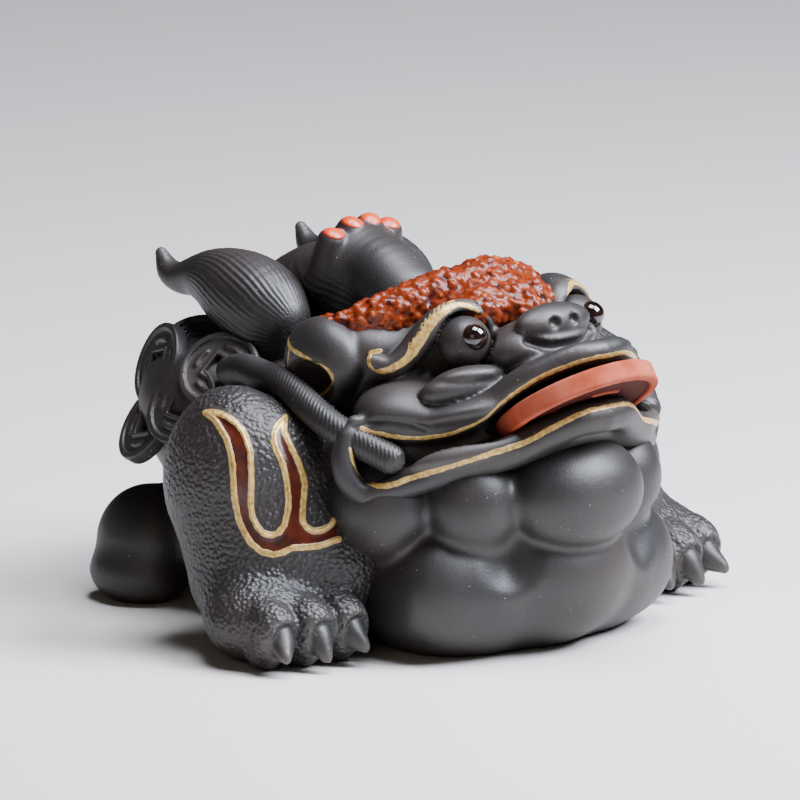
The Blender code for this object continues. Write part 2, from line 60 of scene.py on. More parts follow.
# Someone who looks at the toad: how far round from its front and how far up, in radians
TURN = math.radians(42.0)
RISE = math.radians(12.5)
SIGHT = np.array((math.sin(TURN) * math.cos(RISE), -math.cos(TURN) * math.cos(RISE), math.sin(RISE)))
ACROSS = np.array((-math.cos(TURN), -math.sin(TURN), 0.0))
ABOVE = np.array((-math.sin(TURN) * math.sin(RISE), math.cos(TURN) * math.sin(RISE), math.cos(RISE)))
MIRROR = np.array((-1.0, 1.0, 1.0))


# Clay on a grid

def smooth_min(one, two, blend):
    """The lower of two distances, with the corner between them rounded over."""
    if blend <= 0:
        return np.minimum(one, two)
    near = np.maximum(blend - np.abs(one - two), 0.0) / blend
    return np.minimum(one, two) - near * near * blend / 4


def egg(centre, half, tilt=0.0, axes=None):
    """An egg-shaped lump of clay. Returns its lowest and highest corner and its distance."""
    centre = np.array(centre, np.float32)
    half = np.array(half, np.float32)
    turn = np.array(Matrix.Rotation(math.radians(tilt), 3, "X")) if axes is None else axes
    turn = turn.astype(np.float32)
    reach = np.sqrt(((turn * half) ** 2).sum(axis=1))

    def distance(x, y, z):
        off = (x - centre[0], y - centre[1], z - centre[2])
        if tilt or axes is not None:
            off = [sum(turn[k, i] * off[k] for k in range(3)) for i in range(3)]
        one = np.sqrt(sum((off[i] / half[i]) ** 2 for i in range(3)))
        two = np.sqrt(sum((off[i] / half[i] ** 2) ** 2 for i in range(3)))
        return one * (one - 1.0) / np.maximum(two, 1e-6)

    return centre - reach, centre + reach, distance


def eased(points, steps):
    """A smooth run through the points, with steps between each two of them."""
    points = np.array(points, float)
    if len(points) < 3:
        return points
    ends = np.vstack([2 * points[0] - points[1], points, 2 * points[-1] - points[-2]])
    made = []
    for i in range(1, len(ends) - 2):
        a, b, c, d = ends[i - 1:i + 3]
        for k in range(steps):
            t = k / steps
            bend = (2 * a - 5 * b + 4 * c - d) * t ** 2 + (3 * b - a - 3 * c + d) * t ** 3
            made.append((2 * b + (c - a) * t + bend) / 2)
    made.append(points[-1])
    return np.array(made)


def roll(points, steps=4):
    """A roll of clay through points (x, y, z, radius): its lowest and highest corner and its distance."""
    run = eased(points, steps).astype(np.float32)
    size = run[:, 3:]

    def distance(x, y, z):
        best = None
        for one, two in zip(run, run[1:]):
            way = two - one
            length = max(float(way[:3] @ way[:3]), 1e-9)
            off = (x - one[0], y - one[1], z - one[2])
            along = np.clip(sum(off[i] * way[i] for i in range(3)) / length, 0.0, 1.0)
            gap = np.sqrt(sum((off[i] - along * way[i]) ** 2 for i in range(3))) - one[3] - along * way[3]
            best = gap if best is None else np.minimum(best, gap)
        return best

    return (run[:, :3] - size).min(axis=0), (run[:, :3] + size).max(axis=0), distance


class Clay:
    """The left half of a heap of clay, as a grid of distances to its skin that are below zero inside."""

    def __init__(self, low, high, grain):
        self.grain = grain
        self.axes = [np.arange(a, b, grain, dtype=np.float32) for a, b in zip((grain / 2, *low[1:]), high)]
        self.field = np.full([len(axis) for axis in self.axes], 40.0, np.float32)

    def work(self, shape, blend, cut):
        """Adds or cuts a shape and its mirror image, within reach of it."""
        low, high, distance = shape
        margin = blend + 3.0
        bounds = zip(self.axes, low, high)
        spans = tuple(slice(*np.searchsorted(axis, (a - margin, b + margin))) for axis, a, b in bounds)
        x, y, z = (axis[span] for axis, span in zip(self.axes, spans))
        x, y, z = x[:, None, None], y[None, :, None], z[None, None, :]
        gap = distance(x, y, z)
        if low[0] < margin:
            gap = np.minimum(gap, distance(-x, y, z))
        old = self.field[spans]
        self.field[spans] = -smooth_min(-old, gap, blend) if cut else smooth_min(old, gap, blend)

    def add(self, shape, blend=1.0):
        self.work(shape, blend, False)

    def cut(self, shape, blend=0.6):
        self.work(shape, blend, True)

    def add_lumps(self, table):
        for centre, half, tilt, blend in table.values():
            self.add(egg(centre, half, tilt), blend)

    def set_down(self):
        """Cuts the clay flat at the table."""
        self.field = np.maximum(self.field, -self.axes[2][None, None, :])

    def depth(self, points):
        """Distance to the skin at points, below zero inside the clay."""
        spot = np.array(points, float)
        spot[:, 0] = np.abs(spot[:, 0])
        cell = []
        share = []
        for i, axis in enumerate(self.axes):
            place = np.clip((spot[:, i] - axis[0]) / self.grain, 0, len(axis) - 1.001)
            cell.append(place.astype(int))
            share.append(place - cell[-1])
        total = 0.0
        for corner in np.ndindex(2, 2, 2):
            weight = 1.0
            for s, c in zip(share, corner):
                weight = weight * (s if c else 1 - s)
            total = total + weight * self.field[tuple(w + c for w, c in zip(cell, corner))]
        return total

    def slope(self, points):
        """The way out of the clay at each point."""
        steps = np.eye(3) * self.grain
        way = np.stack([self.depth(points + step) - self.depth(points - step) for step in steps], axis=1)
        return way / np.maximum(np.linalg.norm(way, axis=1, keepdims=True), 1e-6)

    def laid(self, drawing, steps=5):
        """Lays a drawing of (across, above, half width) onto the skin: points (x, y, z, half width)."""
        run = eased(drawing, steps)
        reach = np.arange(90.0, -50.0, -0.2)
        base = run[:, :1] * ACROSS + run[:, 1:2] * ABOVE
        spots = base[:, None] + reach[None, :, None] * SIGHT
        gap = self.depth(spots.reshape(-1, 3)).reshape(len(run), -1)
        rows = np.arange(len(run))
        hit = np.argmax(gap < 0, axis=1)
        found = gap[rows, hit] < 0
        spots = spots[rows, hit][found]
        for _ in range(3):
            spots = spots - self.slope(spots) * np.clip(self.depth(spots), -0.3, 0.3)[:, None]
        return np.column_stack([spots, run[found, 2]])

    def crease(self, drawing, radius, blend=0.6):
        """Presses a groove into the skin along a drawn line."""
        spots = self.laid([(*point, radius) for point in drawing], 3)
        self.cut(roll(spots, 1), blend)

    def skin(self):
        """Points and four-sided faces of the skin on both sides, from the cells that it passes through."""
        field = np.concatenate([self.field[::-1], self.field], axis=0)
        field = np.pad(field, 1, constant_values=5.0)
        low = np.array([-self.axes[0][-1], self.axes[1][0], self.axes[2][0]]) - self.grain
        solid = field < 0
        corners = [np.array(corner) for corner in np.ndindex(2, 2, 2)]
        count = 0
        for corner in corners:
            count = count + solid[tuple(slice(c, c - 1 or None) for c in corner)].astype(np.int8)
        crossed = (count > 0) & (count < len(corners))
        cells = np.argwhere(crossed)
        number = np.full(crossed.shape, -1, np.int64)
        number[crossed] = np.arange(len(cells))
        values = [field[tuple((cells + corner).T)] for corner in corners]
        total = np.zeros((len(cells), 3))
        hits = np.zeros((len(cells), 1))
        for i, one in enumerate(corners):
            for k, two in enumerate(corners[:i]):
                if np.abs(two - one).sum() != 1:
                    continue
                change = (values[i] < 0) != (values[k] < 0)
                share = np.where(change, values[i] / np.where(change, values[i] - values[k], 1.0), 0.0)
                total += change[:, None] * (one + share[:, None] * (two - one))
                hits += change[:, None]
        faces = []
        for axis in range(3):
            one, two = (axis + 1) % 3, (axis + 2) % 3
            near = tuple(slice(None, -1) if i == axis else slice(None) for i in range(3))
            far = tuple(slice(1, None) if i == axis else slice(None) for i in range(3))
            edges = np.argwhere(solid[near] != solid[far])
            ring = []
            for step in ((-1, -1), (0, -1), (0, 0), (-1, 0)):
                shift = np.zeros(3, int)
                shift[[one, two]] = step
                ring.append(number[tuple((edges + shift).T)])
            quads = np.stack(ring, axis=1)
            inward = ~solid[tuple(edges.T)]
            quads[inward] = quads[inward][:, ::-1]
            faces.append(quads)
        return low + (cells + total / hits) * self.grain, np.concatenate(faces)


# Meshes and objects

def mesh_from(name, points, faces):
    """A smooth-shaded mesh from points in millimetres and faces that all have the same number of corners."""
    mesh = bpy.data.meshes.new(name)
    count, corners = faces.shape
    mesh.vertices.add(len(points))
    mesh.vertices.foreach_set("co", (np.asarray(points) * MM).astype(np.float32).ravel())
    mesh.loops.add(count * corners)
    mesh.loops.foreach_set("vertex_index", faces.astype(np.int32).ravel())
    mesh.polygons.add(count)
    mesh.polygons.foreach_set("loop_start", np.arange(0, count * corners, corners, dtype=np.int32))
    mesh.update(calc_edges=True)
    mesh.shade_smooth()
    return mesh


def add_object(name, mesh, finish=None):
    made = bpy.data.objects.new(name, mesh)
    bpy.context.scene.collection.objects.link(made)
    if finish:
        mesh.materials.clear()
        mesh.materials.append(finish)
    return made


def settle(made):
    """Turns an object's modifiers into its plain mesh and takes them away."""
    old = made.data
    mesh = bpy.data.meshes.new_from_object(made.evaluated_get(bpy.context.evaluated_depsgraph_get()))
    made.modifiers.clear()
    made.data = mesh
    bpy.data.meshes.remove(old)
    mesh.shade_smooth()
    return made


def points_of(mesh):
    spots = np.empty(len(mesh.vertices) * 3, np.float32)
    mesh.vertices.foreach_get("co", spots)
    return spots.reshape(-1, 3).astype(float) / MM


def set_mark(mesh, name, values):
    """Stores one number for each point, for the material or the skin to read."""
    mark = mesh.attributes.get(name) or mesh.attributes.new(name, "FLOAT", "POINT")
    mark.data.foreach_set("value", np.asarray(values, np.float32))


def hand_over(made, slot, *nodes):
    """Gives a finished piece to the frame."""
    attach(made, "root")
    if nodes:
        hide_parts(*nodes)


def line_gap(spots, lines):
    """Distance from each spot to lines through points (x, y, z, half width), less the half width there."""
    best = np.full(len(spots), 9.0)
    for line in lines:
        low = line[:, :3].min(axis=0) - 3.0
        high = line[:, :3].max(axis=0) + 3.0
        near = np.where(((spots > low) & (spots < high)).all(axis=1))[0]
        gap = best[near]
        for one, two in zip(line, line[1:]):
            way = two[:3] - one[:3]
            along = np.clip((spots[near] - one[:3]) @ way / max(way @ way, 1e-9), 0, 1)
            away = np.linalg.norm(spots[near] - one[:3] - along[:, None] * way, axis=1)
            gap = np.minimum(gap, away - one[3] - along * (two[3] - one[3]))
        best[near] = gap
    return best


def mark_lines(mesh, name, clay, drawings):
    """Marks the lines on the skin on both sides: millimetres into the line, below zero outside it."""
    lines = [clay.laid(drawing) for drawing in drawings]
    lines += [line * (*MIRROR, 1.0) for line in lines]
    set_mark(mesh, name, -line_gap(points_of(mesh), lines))


def mark_ridge_light(mesh, clay, reach=1.6, gain=1.3):
    """Marks where the clay stands out, to be painted paler there: partly the polish of handling, partly
    painted light on ridges that leaves the hollows in painted shade.
    """
    spots = points_of(mesh)
    way = clay.slope(spots)
    stand = clay.depth(spots + way * reach) + clay.depth(spots - way * reach) - 2 * clay.depth(spots)
    set_mark(mesh, "ridge", np.clip(stand * gain, 0, 1))


def combed(spots, path, count):
    """Height of fine combed grooves that run along a roll of clay, fading where the roll is thin."""
    run = eased(path, 6)
    best = np.full(len(spots), 1e9)
    angle = np.zeros(len(spots))
    size = np.zeros(len(spots))
    travelled = 0.0
    for one, two in zip(run, run[1:]):
        way = two[:3] - one[:3]
        length = np.linalg.norm(way)
        along = np.clip((spots - one[:3]) @ way / length ** 2, 0, 1)
        off = spots - one[:3] - along[:, None] * way
        gap = np.linalg.norm(off, axis=1)
        rise = np.array((0, 0, 1.0)) - way * way[2] / length ** 2
        rise /= np.linalg.norm(rise)
        side = np.cross(way / length, rise)
        here = np.arctan2(off @ side, off @ rise) + COMB_LEAN * (travelled + along * length)
        closer = gap < best
        best = np.where(closer, gap, best)
        angle = np.where(closer, here, angle)
        size = np.where(closer, one[3] + along * (two[3] - one[3]), size)
        travelled += length
    return COMB_DEPTH * np.cos(angle * count) * np.clip((size - 1.8) / 3.0, 0, 1)


# Materials

def colour(text):
    """Linear colour from an sRGB hex value."""
    parts = [int(text[i:i + 2], 16) / 255 for i in (1, 3, 5)]
    return [p / 12.92 if p <= 0.04045 else ((p + 0.055) / 1.055) ** 2.4 for p in parts] + [1.0]


def node(tree, kind, settings=None):
    """Adds a node with its properties, inputs or a ramp's stops. A node and its output are linked."""
    made = tree.nodes.new(kind)
    for key, value in (settings or {}).items():
        if key == "stops":
            slots = made.color_ramp.elements
            while len(slots) < len(value):
                slots.new(0.5)
            for slot, (place, tone) in zip(slots, value):
                slot.position = place
                slot.color = tone
        elif not isinstance(key, int) and key not in made.inputs.keys():
            setattr(made, key, value)
        elif isinstance(value, tuple) and isinstance(value[0], bpy.types.Node):
            tree.links.new(value[0].outputs[value[1]], made.inputs[key])
        else:
            made.inputs[key].default_value = value
    return made


def new_material(name):
    """A new material, a call that adds a node to it, its shader and the place on the object."""
    made = bpy.data.materials.new(name)
    made.use_nodes = True
    made.node_tree.nodes.clear()
    add = functools.partial(node, made.node_tree)
    shader = add("ShaderNodeBsdfPrincipled")
    add("ShaderNodeOutputMaterial", {"Surface": (shader, 0)})
    return made, add, shader, (add("ShaderNodeTexCoord"), "Object")


def finish_shader(shader, links, numbers):
    for name, (source, output) in links.items():
        shader.id_data.links.new(source.outputs[output], shader.inputs[name])
    for name, value in numbers.items():
        shader.inputs[name].default_value = value


def fired_clay(sizes, colours, name="fired black clay", pebbled=False, gilt=False, glaze=None):
    """Unglazed black clay with a satin sheen, browner in patches, with fine grit and specks of mica."""
    made, add, shader, spot = new_material(name)
    drift = add("ShaderNodeTexNoise", {"Scale": 1 / (14 * MM), "Detail": 3.0, "Vector": spot})
    stops = ((0.35, colours.clay), (0.65, colours.warm_clay))
    tone = add("ShaderNodeValToRGB", {"Fac": (drift, "Fac"), "stops": stops})
    grit = add("ShaderNodeTexNoise", {"Scale": 1 / (0.45 * MM), "Detail": 2.0, "Vector": spot})
    dust = add("ShaderNodeMapRange", {0: (grit, "Fac"), 1: 0.35, 2: 0.75, 3: 0.0, 4: 0.3})
    tone = add("ShaderNodeMix", {"data_type": "RGBA", 0: (dust, 0), 6: (tone, 0), 7: colours.dust})
    # Mica shows as scattered pale specks about 0.2 mm across, in one cell of four
    flakes = add("ShaderNodeTexVoronoi", {"Scale": 1 / (1.5 * MM), "Vector": spot})
    flake = add("ShaderNodeMapRange", {0: (flakes, "Distance"), 1: 0.05, 2: 0.09, 3: 1.0, 4: 0.0})
    chance = add("ShaderNodeSeparateColor", {0: (flakes, "Color")})
    few = add("ShaderNodeMath", {"operation": "GREATER_THAN", 0: (chance, 0), 1: 0.75})
    flake = add("ShaderNodeMath", {"operation": "MULTIPLY", 0: (flake, 0), 1: (few, 0)})
    tone = add("ShaderNodeMix", {"data_type": "RGBA", 0: (flake, 0), 6: (tone, 2), 7: colours.mica})
    # Paler where the clay stands out: partly handling wear, partly painted light on ridges and painted shade
    # in hollows
    ridge_light = add("ShaderNodeAttribute", {"attribute_name": "ridge"})
    tone = add("ShaderNodeMix", {"data_type": "RGBA", 0: (ridge_light, "Fac"), 6: (tone, 2), 7: colours.wear_and_painted_light_clay})
    rough = (add("ShaderNodeMapRange", {0: (drift, "Fac"), 1: 0.3, 2: 0.7, 3: 0.43, 4: 0.52}), 0)
    relief = (add("ShaderNodeBump", {"Strength": 0.5, "Distance": 0.07 * MM, "Height": (grit, "Fac")}), 0)
    metal = None
    if pebbled:
        mark = add("ShaderNodeAttribute", {"attribute_name": "rough"})
        cells = add("ShaderNodeTexVoronoi",
                    {"feature": "SMOOTH_F1", "Smoothness": 0.3, "Scale": 1 / sizes.pebble, "Vector": spot})
        dome = add("ShaderNodeMapRange", {0: (cells, "Distance"), 1: 0.1, 2: 0.7, 3: 1.0, 4: 0.0})
        dome = add("ShaderNodeMath", {"operation": "MULTIPLY", 0: (dome, 0), 1: (mark, "Fac")})
        relief = (add("ShaderNodeBump", {"Strength": 1.0, "Distance": sizes.pebble * 0.22,
                                         "Height": (dome, 0), "Normal": relief}), 0)
        # Pebble crests are painted paler: partly handling wear, partly painted light on their tops
        crest_light = add("ShaderNodeMapRange", {0: (dome, 0), 1: 0.55, 2: 1.0, 3: 0.0, 4: 0.6})
        tone = add("ShaderNodeMix", {"data_type": "RGBA", 0: (crest_light, 0), 6: (tone, 2), 7: colours.wear_and_painted_light_clay})
    if glaze:
        mark = add("ShaderNodeAttribute", {"attribute_name": "glaze"})
        body = add("ShaderNodeMapRange", {0: (mark, "Fac"), 1: -0.12, 2: 0.12, 3: 0.0, 4: 1.0})
        flow = add("ShaderNodeTexNoise", {"Scale": 1 / (3 * MM), "Detail": 3.0, "Vector": spot})
        stops = ((0.35, glaze[0]), (0.65, glaze[1]))
        wet = add("ShaderNodeValToRGB", {"Fac": (flow, "Fac"), "stops": stops})
        tone = add("ShaderNodeMix", {"data_type": "RGBA", 0: (body, 0), 6: (tone, 2), 7: (wet, 0)})
        rough = (add("ShaderNodeMix", {0: (body, 0), 2: rough, 3: 0.32}), 0)
        relief = (add("ShaderNodeBump", {"Strength": 0.6, "Distance": 0.25 * MM, "Height": (body, 0),
                                         "Normal": relief}), 0)
    if gilt:
        # Brushed-on gold: its edge wavers and its body is streaked where the brush ran dry
        mark = add("ShaderNodeAttribute", {"attribute_name": "gold"})
        waver = add("ShaderNodeTexNoise", {"Scale": 1 / (1.2 * MM), "Detail": 2.0, "Vector": spot})
        shaky = add("ShaderNodeMath",
                    {"operation": "MULTIPLY_ADD", 0: (waver, "Fac"), 1: 0.4, 2: (mark, "Fac")})
        line = add("ShaderNodeMapRange", {0: (shaky, 0), 1: 0.13, 2: 0.26, 3: 0.0, 4: 1.0})
        streak = add("ShaderNodeTexNoise", {"Scale": 1 / (0.8 * MM), "Detail": 3.0, "Vector": spot})
        stops = ((0.3, colours.thin_gold), (0.65, colours.gold))
        gold = add("ShaderNodeValToRGB", {"Fac": (streak, "Fac"), "stops": stops})
        tone = add("ShaderNodeMix", {"data_type": "RGBA", 0: (line, 0), 6: (tone, 2), 7: (gold, 0)})
        rough = (add("ShaderNodeMix", {0: (line, 0), 2: rough, 3: 0.36}), 0)
        metal = (add("ShaderNodeMix", {0: (line, 0), 2: 0.0, 3: 0.25}), 0)
        relief = (add("ShaderNodeBump", {"Strength": 0.5, "Distance": 0.12 * MM, "Height": (line, 0),
                                         "Normal": relief}), 0)
    links = {"Base Color": (tone, 2), "Roughness": rough, "Normal": relief}
    if metal:
        links["Metallic"] = metal
    finish_shader(shader, links, {"IOR": 1.5})
    return made


def gravel_glaze(colours):
    """Thick red iron glaze that has bubbled over coarse grit: glossy, with paler edges and dark pits."""
    made, add, shader, spot = new_material("red gravel glaze")
    cells = add("ShaderNodeTexVoronoi", {"Scale": 1 / (1.3 * MM), "Vector": spot})
    drift = add("ShaderNodeTexNoise", {"Scale": 1 / (1.8 * MM), "Detail": 4.0, "Vector": spot})
    height = add("ShaderNodeMath",
                 {"operation": "MULTIPLY_ADD", 0: (cells, "Distance"), 1: 0.4, 2: (drift, "Fac")})
    stops = ((0.45, colours.gravel_pale), (0.56, colours.gravel), (0.74, colours.gravel),
             (0.92, colours.gravel_deep))
    tone = add("ShaderNodeValToRGB", {"Fac": (height, 0), "stops": stops})
    fine = add("ShaderNodeBump", {"Strength": 0.8, "Distance": 0.22 * MM, "invert": True,
                                  "Height": (cells, "Distance")})
    finish_shader(shader, {"Base Color": (tone, 0), "Normal": (fine, 0)},
                  {"Roughness": 0.3, "Specular IOR Level": 0.3})
    return made


def red_clay(colours):
    """Unglazed red clay, matt and dusty, orange where it is thick, with painted shade that darkens its
    sunken face.
    """
    made, add, shader, spot = new_material("fired red clay")
    patches = add("ShaderNodeTexNoise", {"Scale": 1 / (7 * MM), "Detail": 3.0, "Vector": spot})
    stops = ((0.35, colours.coin_pale), (0.65, colours.coin))
    tone = add("ShaderNodeValToRGB", {"Fac": (patches, "Fac"), "stops": stops})
    # Painted shade on the face inside the coin's rim
    sunk = add("ShaderNodeAttribute", {"attribute_name": "sunk"})
    tone = add("ShaderNodeMix", {"data_type": "RGBA", 0: (sunk, "Fac"), 6: (tone, 0), 7: colours.coin_shade})
    grit = add("ShaderNodeTexNoise", {"Scale": 1 / (0.4 * MM), "Detail": 2.0, "Vector": spot})
    fine = add("ShaderNodeBump", {"Strength": 0.4, "Distance": 0.05 * MM, "Height": (grit, "Fac")})
    finish_shader(shader, {"Base Color": (tone, 2), "Normal": (fine, 0)},
                  {"Roughness": 0.85, "Specular IOR Level": 0.15})
    return made


def bead_glaze(colours):
    """Nearly black tea-brown glaze fired to a mirror."""
    made, add, shader, spot = new_material("black bead glaze")
    swirl = add("ShaderNodeTexNoise", {"Scale": 1 / (2.5 * MM), "Detail": 1.0, "Vector": spot})
    stops = ((0.35, colours.bead_deep), (0.7, colours.bead))
    tone = add("ShaderNodeValToRGB", {"Fac": (swirl, "Fac"), "stops": stops})
    finish_shader(shader, {"Base Color": (tone, 0)},
                  {"Roughness": 0.06, "Coat Weight": 1.0, "Coat Roughness": 0.03})
    return made


# The skin of a piece

def geometry_tree(name, *labels):
    """A Geometry Nodes tree with an input for each label, a call that adds a node, and its first node."""
    tree = bpy.data.node_groups.new(name, "GeometryNodeTree")
    face = tree.interface
    face.new_socket("Geometry", in_out="INPUT", socket_type="NodeSocketGeometry")
    for label in labels:
        face.new_socket(label, in_out="INPUT", socket_type="NodeSocketFloat").default_value = MM
    face.new_socket("Geometry", in_out="OUTPUT", socket_type="NodeSocketGeometry")
    add = functools.partial(node, tree)
    return tree, add, add("NodeGroupInput")


def grain_tree(name, finish):
    """Geometry Nodes: raises pebbles where the skin is marked rough, and lets all of it waver a little."""
    labels = ("Pebble Size", "Pebble Height", "Waver Size", "Waver Height")
    tree, add, start = geometry_tree(name, *labels)
    spot = (add("GeometryNodeInputPosition"), 0)
    way = (add("GeometryNodeInputNormal"), 0)
    rough = add("GeometryNodeInputNamedAttribute", {"data_type": "FLOAT", "Name": "rough"})
    fine = add("ShaderNodeMath", {"operation": "DIVIDE", 0: 1.0, 1: (start, "Pebble Size")})
    cells = add("ShaderNodeTexVoronoi",
                {"feature": "SMOOTH_F1", "Smoothness": 0.35, "Vector": spot, "Scale": (fine, 0)})
    dome = add("ShaderNodeMapRange", {0: (cells, "Distance"), 1: 0.15, 2: 0.75, 3: 1.0, 4: -0.6})
    dome = add("ShaderNodeMath", {"operation": "MULTIPLY", 0: (dome, 0), 1: (rough, 0)})
    slow = add("ShaderNodeMath", {"operation": "DIVIDE", 0: 1.0, 1: (start, "Waver Size")})
    swell = add("ShaderNodeTexNoise", {"Detail": 2.0, "Vector": spot, "Scale": (slow, 0)})
    swell = add("ShaderNodeMath", {"operation": "SUBTRACT", 0: (swell, 0), 1: 0.5})
    swell = add("ShaderNodeMath", {"operation": "MULTIPLY", 0: (swell, 0), 1: (start, "Waver Height")})
    total = add("ShaderNodeMath",
                {"operation": "MULTIPLY_ADD", 0: (dome, 0), 1: (start, "Pebble Height"), 2: (swell, 0)})
    push = add("ShaderNodeVectorMath", {"operation": "SCALE", 0: way, "Scale": (total, 0)})
    move = add("GeometryNodeSetPosition", {"Geometry": (start, "Geometry"), "Offset": (push, 0)})
    dress = add("GeometryNodeSetMaterial", {"Geometry": (move, 0), "Material": finish})
    add("NodeGroupOutput", {0: (dress, 0)})
    return tree


def set_inputs(modifier, **values):
    """Sets a modifier's inputs by what they are called in its tree."""
    for item in modifier.node_group.interface.items_tree:
        key = item.name.replace(" ", "_")
        if item.item_type == "SOCKET" and item.in_out == "INPUT" and key in values:
            modifier[item.identifier] = values[key]


PIECE_TRIANGLES = 190000
WAVER_SIZE = 9.0


def clay_piece(name, clay, finish, rough=None, raised=None, pebble=1.4, height=0.07, waver=0.2):
    """The finished object for a block of clay: its skin, raised, pebbled where rough and thinned if fine."""
    points, faces = clay.skin()
    roughness = np.zeros(len(points)) if rough is None else rough(points)
    if raised:
        points = points + clay.slope(points) * raised(points)[:, None]
    mesh = mesh_from(name, points, faces)
    set_mark(mesh, "rough", roughness)
    made = add_object(name, mesh, finish)
    grain = made.modifiers.new("grain", "NODES")
    grain.node_group = grain_tree(name + " grain", finish)
    set_inputs(grain, Pebble_Size=pebble * MM, Pebble_Height=height * MM,
               Waver_Size=WAVER_SIZE * MM, Waver_Height=waver * MM)
    if len(faces) * 2 > PIECE_TRIANGLES:
        thin = made.modifiers.new("thin", "DECIMATE")
        thin.ratio = PIECE_TRIANGLES / (len(faces) * 2)
    settle(made)
    made.data.materials.clear()
    made.data.materials.append(finish)
    mark_ridge_light(made.data, clay)
    return made


# The head: centre, half sizes, tilt in degrees and blend of each lump

HEAD = {
    "skull": ((0, -15, 45.5), (25.5, 17, 11.5), 0, 0),
    "crown": ((0, -19, 53.5), (18.5, 12.5, 8.2), 0, 4),
    "face": ((0, -30.5, 41.5), (26.5, 18, 4.5), -16, 3),
    "snout": ((0, -43.5, 48.6), (13.5, 9, 4.4), -22, 3),
    "jaw": ((0, -30, 34), (29, 20, 6), -16, 3),
    "cheek": ((22.5, -26, 42.4), (9.2, 8, 5.4), 0, 3),
    "temple": ((19.5, -14.5, 51.5), (8, 7.5, 5.5), 0, 3),
}
MUZZLE = {
    "muzzle": ((0, -36.4, 52.3), (12, 7.6, 5.6), -16, 1),
    "nose pad": ((0, -39.3, 57.2), (8.1, 3.6, 3.3), 10, 0.4),
    "ear": ((27, -10.5, 49.5), (5.6, 8.4, 7.8), 0, 0.8),
}
EAR_HOLLOW = ((33.2, -12, 46.4), (4.6, 5.4, 4.4))
NOSTRIL = ((2.3, -42.8, 57.9), (1.2, 1.3, 1.15))

# Lips from the middle of the mouth to its corner: across, back from the front of the lips, height, radius
LIP_FRONT = -53.5
UPPER_LIP = (
    (0, 1.9, 54, 2.1), (4.5, 3, 53.7, 2.1), (9, 6.1, 51.6, 2.1), (13.5, 10.4, 48.2, 2), (18, 15, 42.9, 2),
    (22.5, 19.8, 40.4, 1.9), (27, 24.1, 40.2, 1.7), (31, 27.1, 40.8, 1.6), (33, 28.4, 41.7, 1.5),
)
LOWER_LIP = (
    (0, 1.8, 42.6, 3), (4.5, 2.7, 42.3, 2.9), (9, 5.7, 40.1, 2.9), (13.5, 9, 37.3, 2.7),
    (18, 12.4, 35.5, 2.6), (22.5, 16.3, 33.7, 2.5), (27, 20.4, 31.7, 2.4), (31, 24.5, 30, 2.3),
    (33, 26.4, 29.7, 2.2), (35, 27.9, 32, 2.2), (35.6, 28.7, 35.6, 2.1), (34.4, 28.9, 39.4, 1.8),
)
GROOVE = (
    (0, 1.2, 48.9, 2.6), (4.5, 2.3, 48.6, 2.6), (9, 5.3, 46.4, 2.6), (13.5, 9.1, 43.3, 2.6),
    (18, 13.1, 39.7, 2.6), (22.5, 17.5, 37.5, 2.6), (27, 21.7, 36.4, 2.6), (31, 25.2, 36, 2.6),
    (33, 26.9, 36.5, 2.6),
)
MOUTH_ROOM = ((0, -45.5, 45), (17.5, 15.5, 4.6), -34)

# The eyeball and the way it looks, and the socket round it, measured as the bags are
EYE = np.array((13.0, -31.0, 54.0))
EYE_R = 4.7
LOOK = np.array((0.175, -0.887, 0.433))
SOCKET = (0.2, 1.4, 0.2)
SOCKET_R = 5.1
BROW = (
    (25.6, -21.6, 51, 1.4), (23.4, -23.6, 50.2, 1.9), (20.4, -25.1, 52.4, 2.3), (17.9, -26.4, 55.7, 2.4),
    (15.6, -27.6, 57.8, 2.4), (12.8, -28.6, 58.9, 2.3), (10.4, -29.8, 58.9, 2.1), (8.6, -30.8, 57.8, 1.7),
    (7.6, -31.6, 55.8, 1.3), (7.6, -32.6, 53.6, 0.9),
)

# Bags below the eye, each measured outwards, forwards and upwards from the middle of the eyeball
EYE_BAGS = (((2.0, 0.4, -8.4), (9.2, 4.8, 3.3)), ((1.6, 1.3, -6.8), (7.3, 4.7, 2.3)))

# Lines drawn on the head: across and above, and for gold the half width
LIP_CORNER_LINE = ((-7.9, 31.4), (-4.2, 32.3), (0.2, 32.1), (4.2, 31.1))
# Grooves below the nose pad and between muzzle and lip: points and radius
MUZZLE_GROOVES = (
    ((0, -43.4, 53.6, 0.9), (4, -42.8, 53.8, 0.9), (7.4, -41.0, 55.0, 0.8)),
    ((0, -46.4, 53.0, 0.6), (5, -45.4, 52.6, 0.6), (9, -43.0, 51.2, 0.6), (12, -39.6, 49.8, 0.6)),
)
LIP_GOLD = (
    ((-6.6, 31.1, 0.4), (-5.4, 30.6, 0.45), (-1.0, 29.7, 0.5), (3.4, 29.4, 0.5), (8.6, 30.2, 0.5),
     (14.2, 32.5, 0.5), (18.0, 35.8, 0.5), (23.6, 39.6, 0.48), (31.0, 42.6, 0.45), (35.8, 43.6, 0.45)),
    ((-8.6, 27.6, 0.3), (-8.2, 25.8, 0.4), (-7.0, 23.2, 0.5), (-4.8, 21.5, 0.5), (-1.8, 21.3, 0.5),
     (2.6, 22.8, 0.5), (8.6, 24.6, 0.5), (16.1, 26.9, 0.48), (21.7, 28.8, 0.48), (27.3, 31.8, 0.48),
     (32.2, 34.0, 0.45), (35.8, 34.8, 0.45)),
)
BROW_GOLD = (
    (-3.3, 44.4, 0.35), (-5.0, 44.0, 0.45), (-5.4, 42.2, 0.5), (-4.0, 40.9, 0.55), (-1.4, 41.4, 0.65),
    (1.2, 43.0, 0.7), (3.4, 45.6, 0.65), (4.9, 48.2, 0.6), (6.8, 50.3, 0.55), (9.4, 52.3, 0.5),
    (11.5, 52.3, 0.55), (13.5, 51.2, 0.35),
)
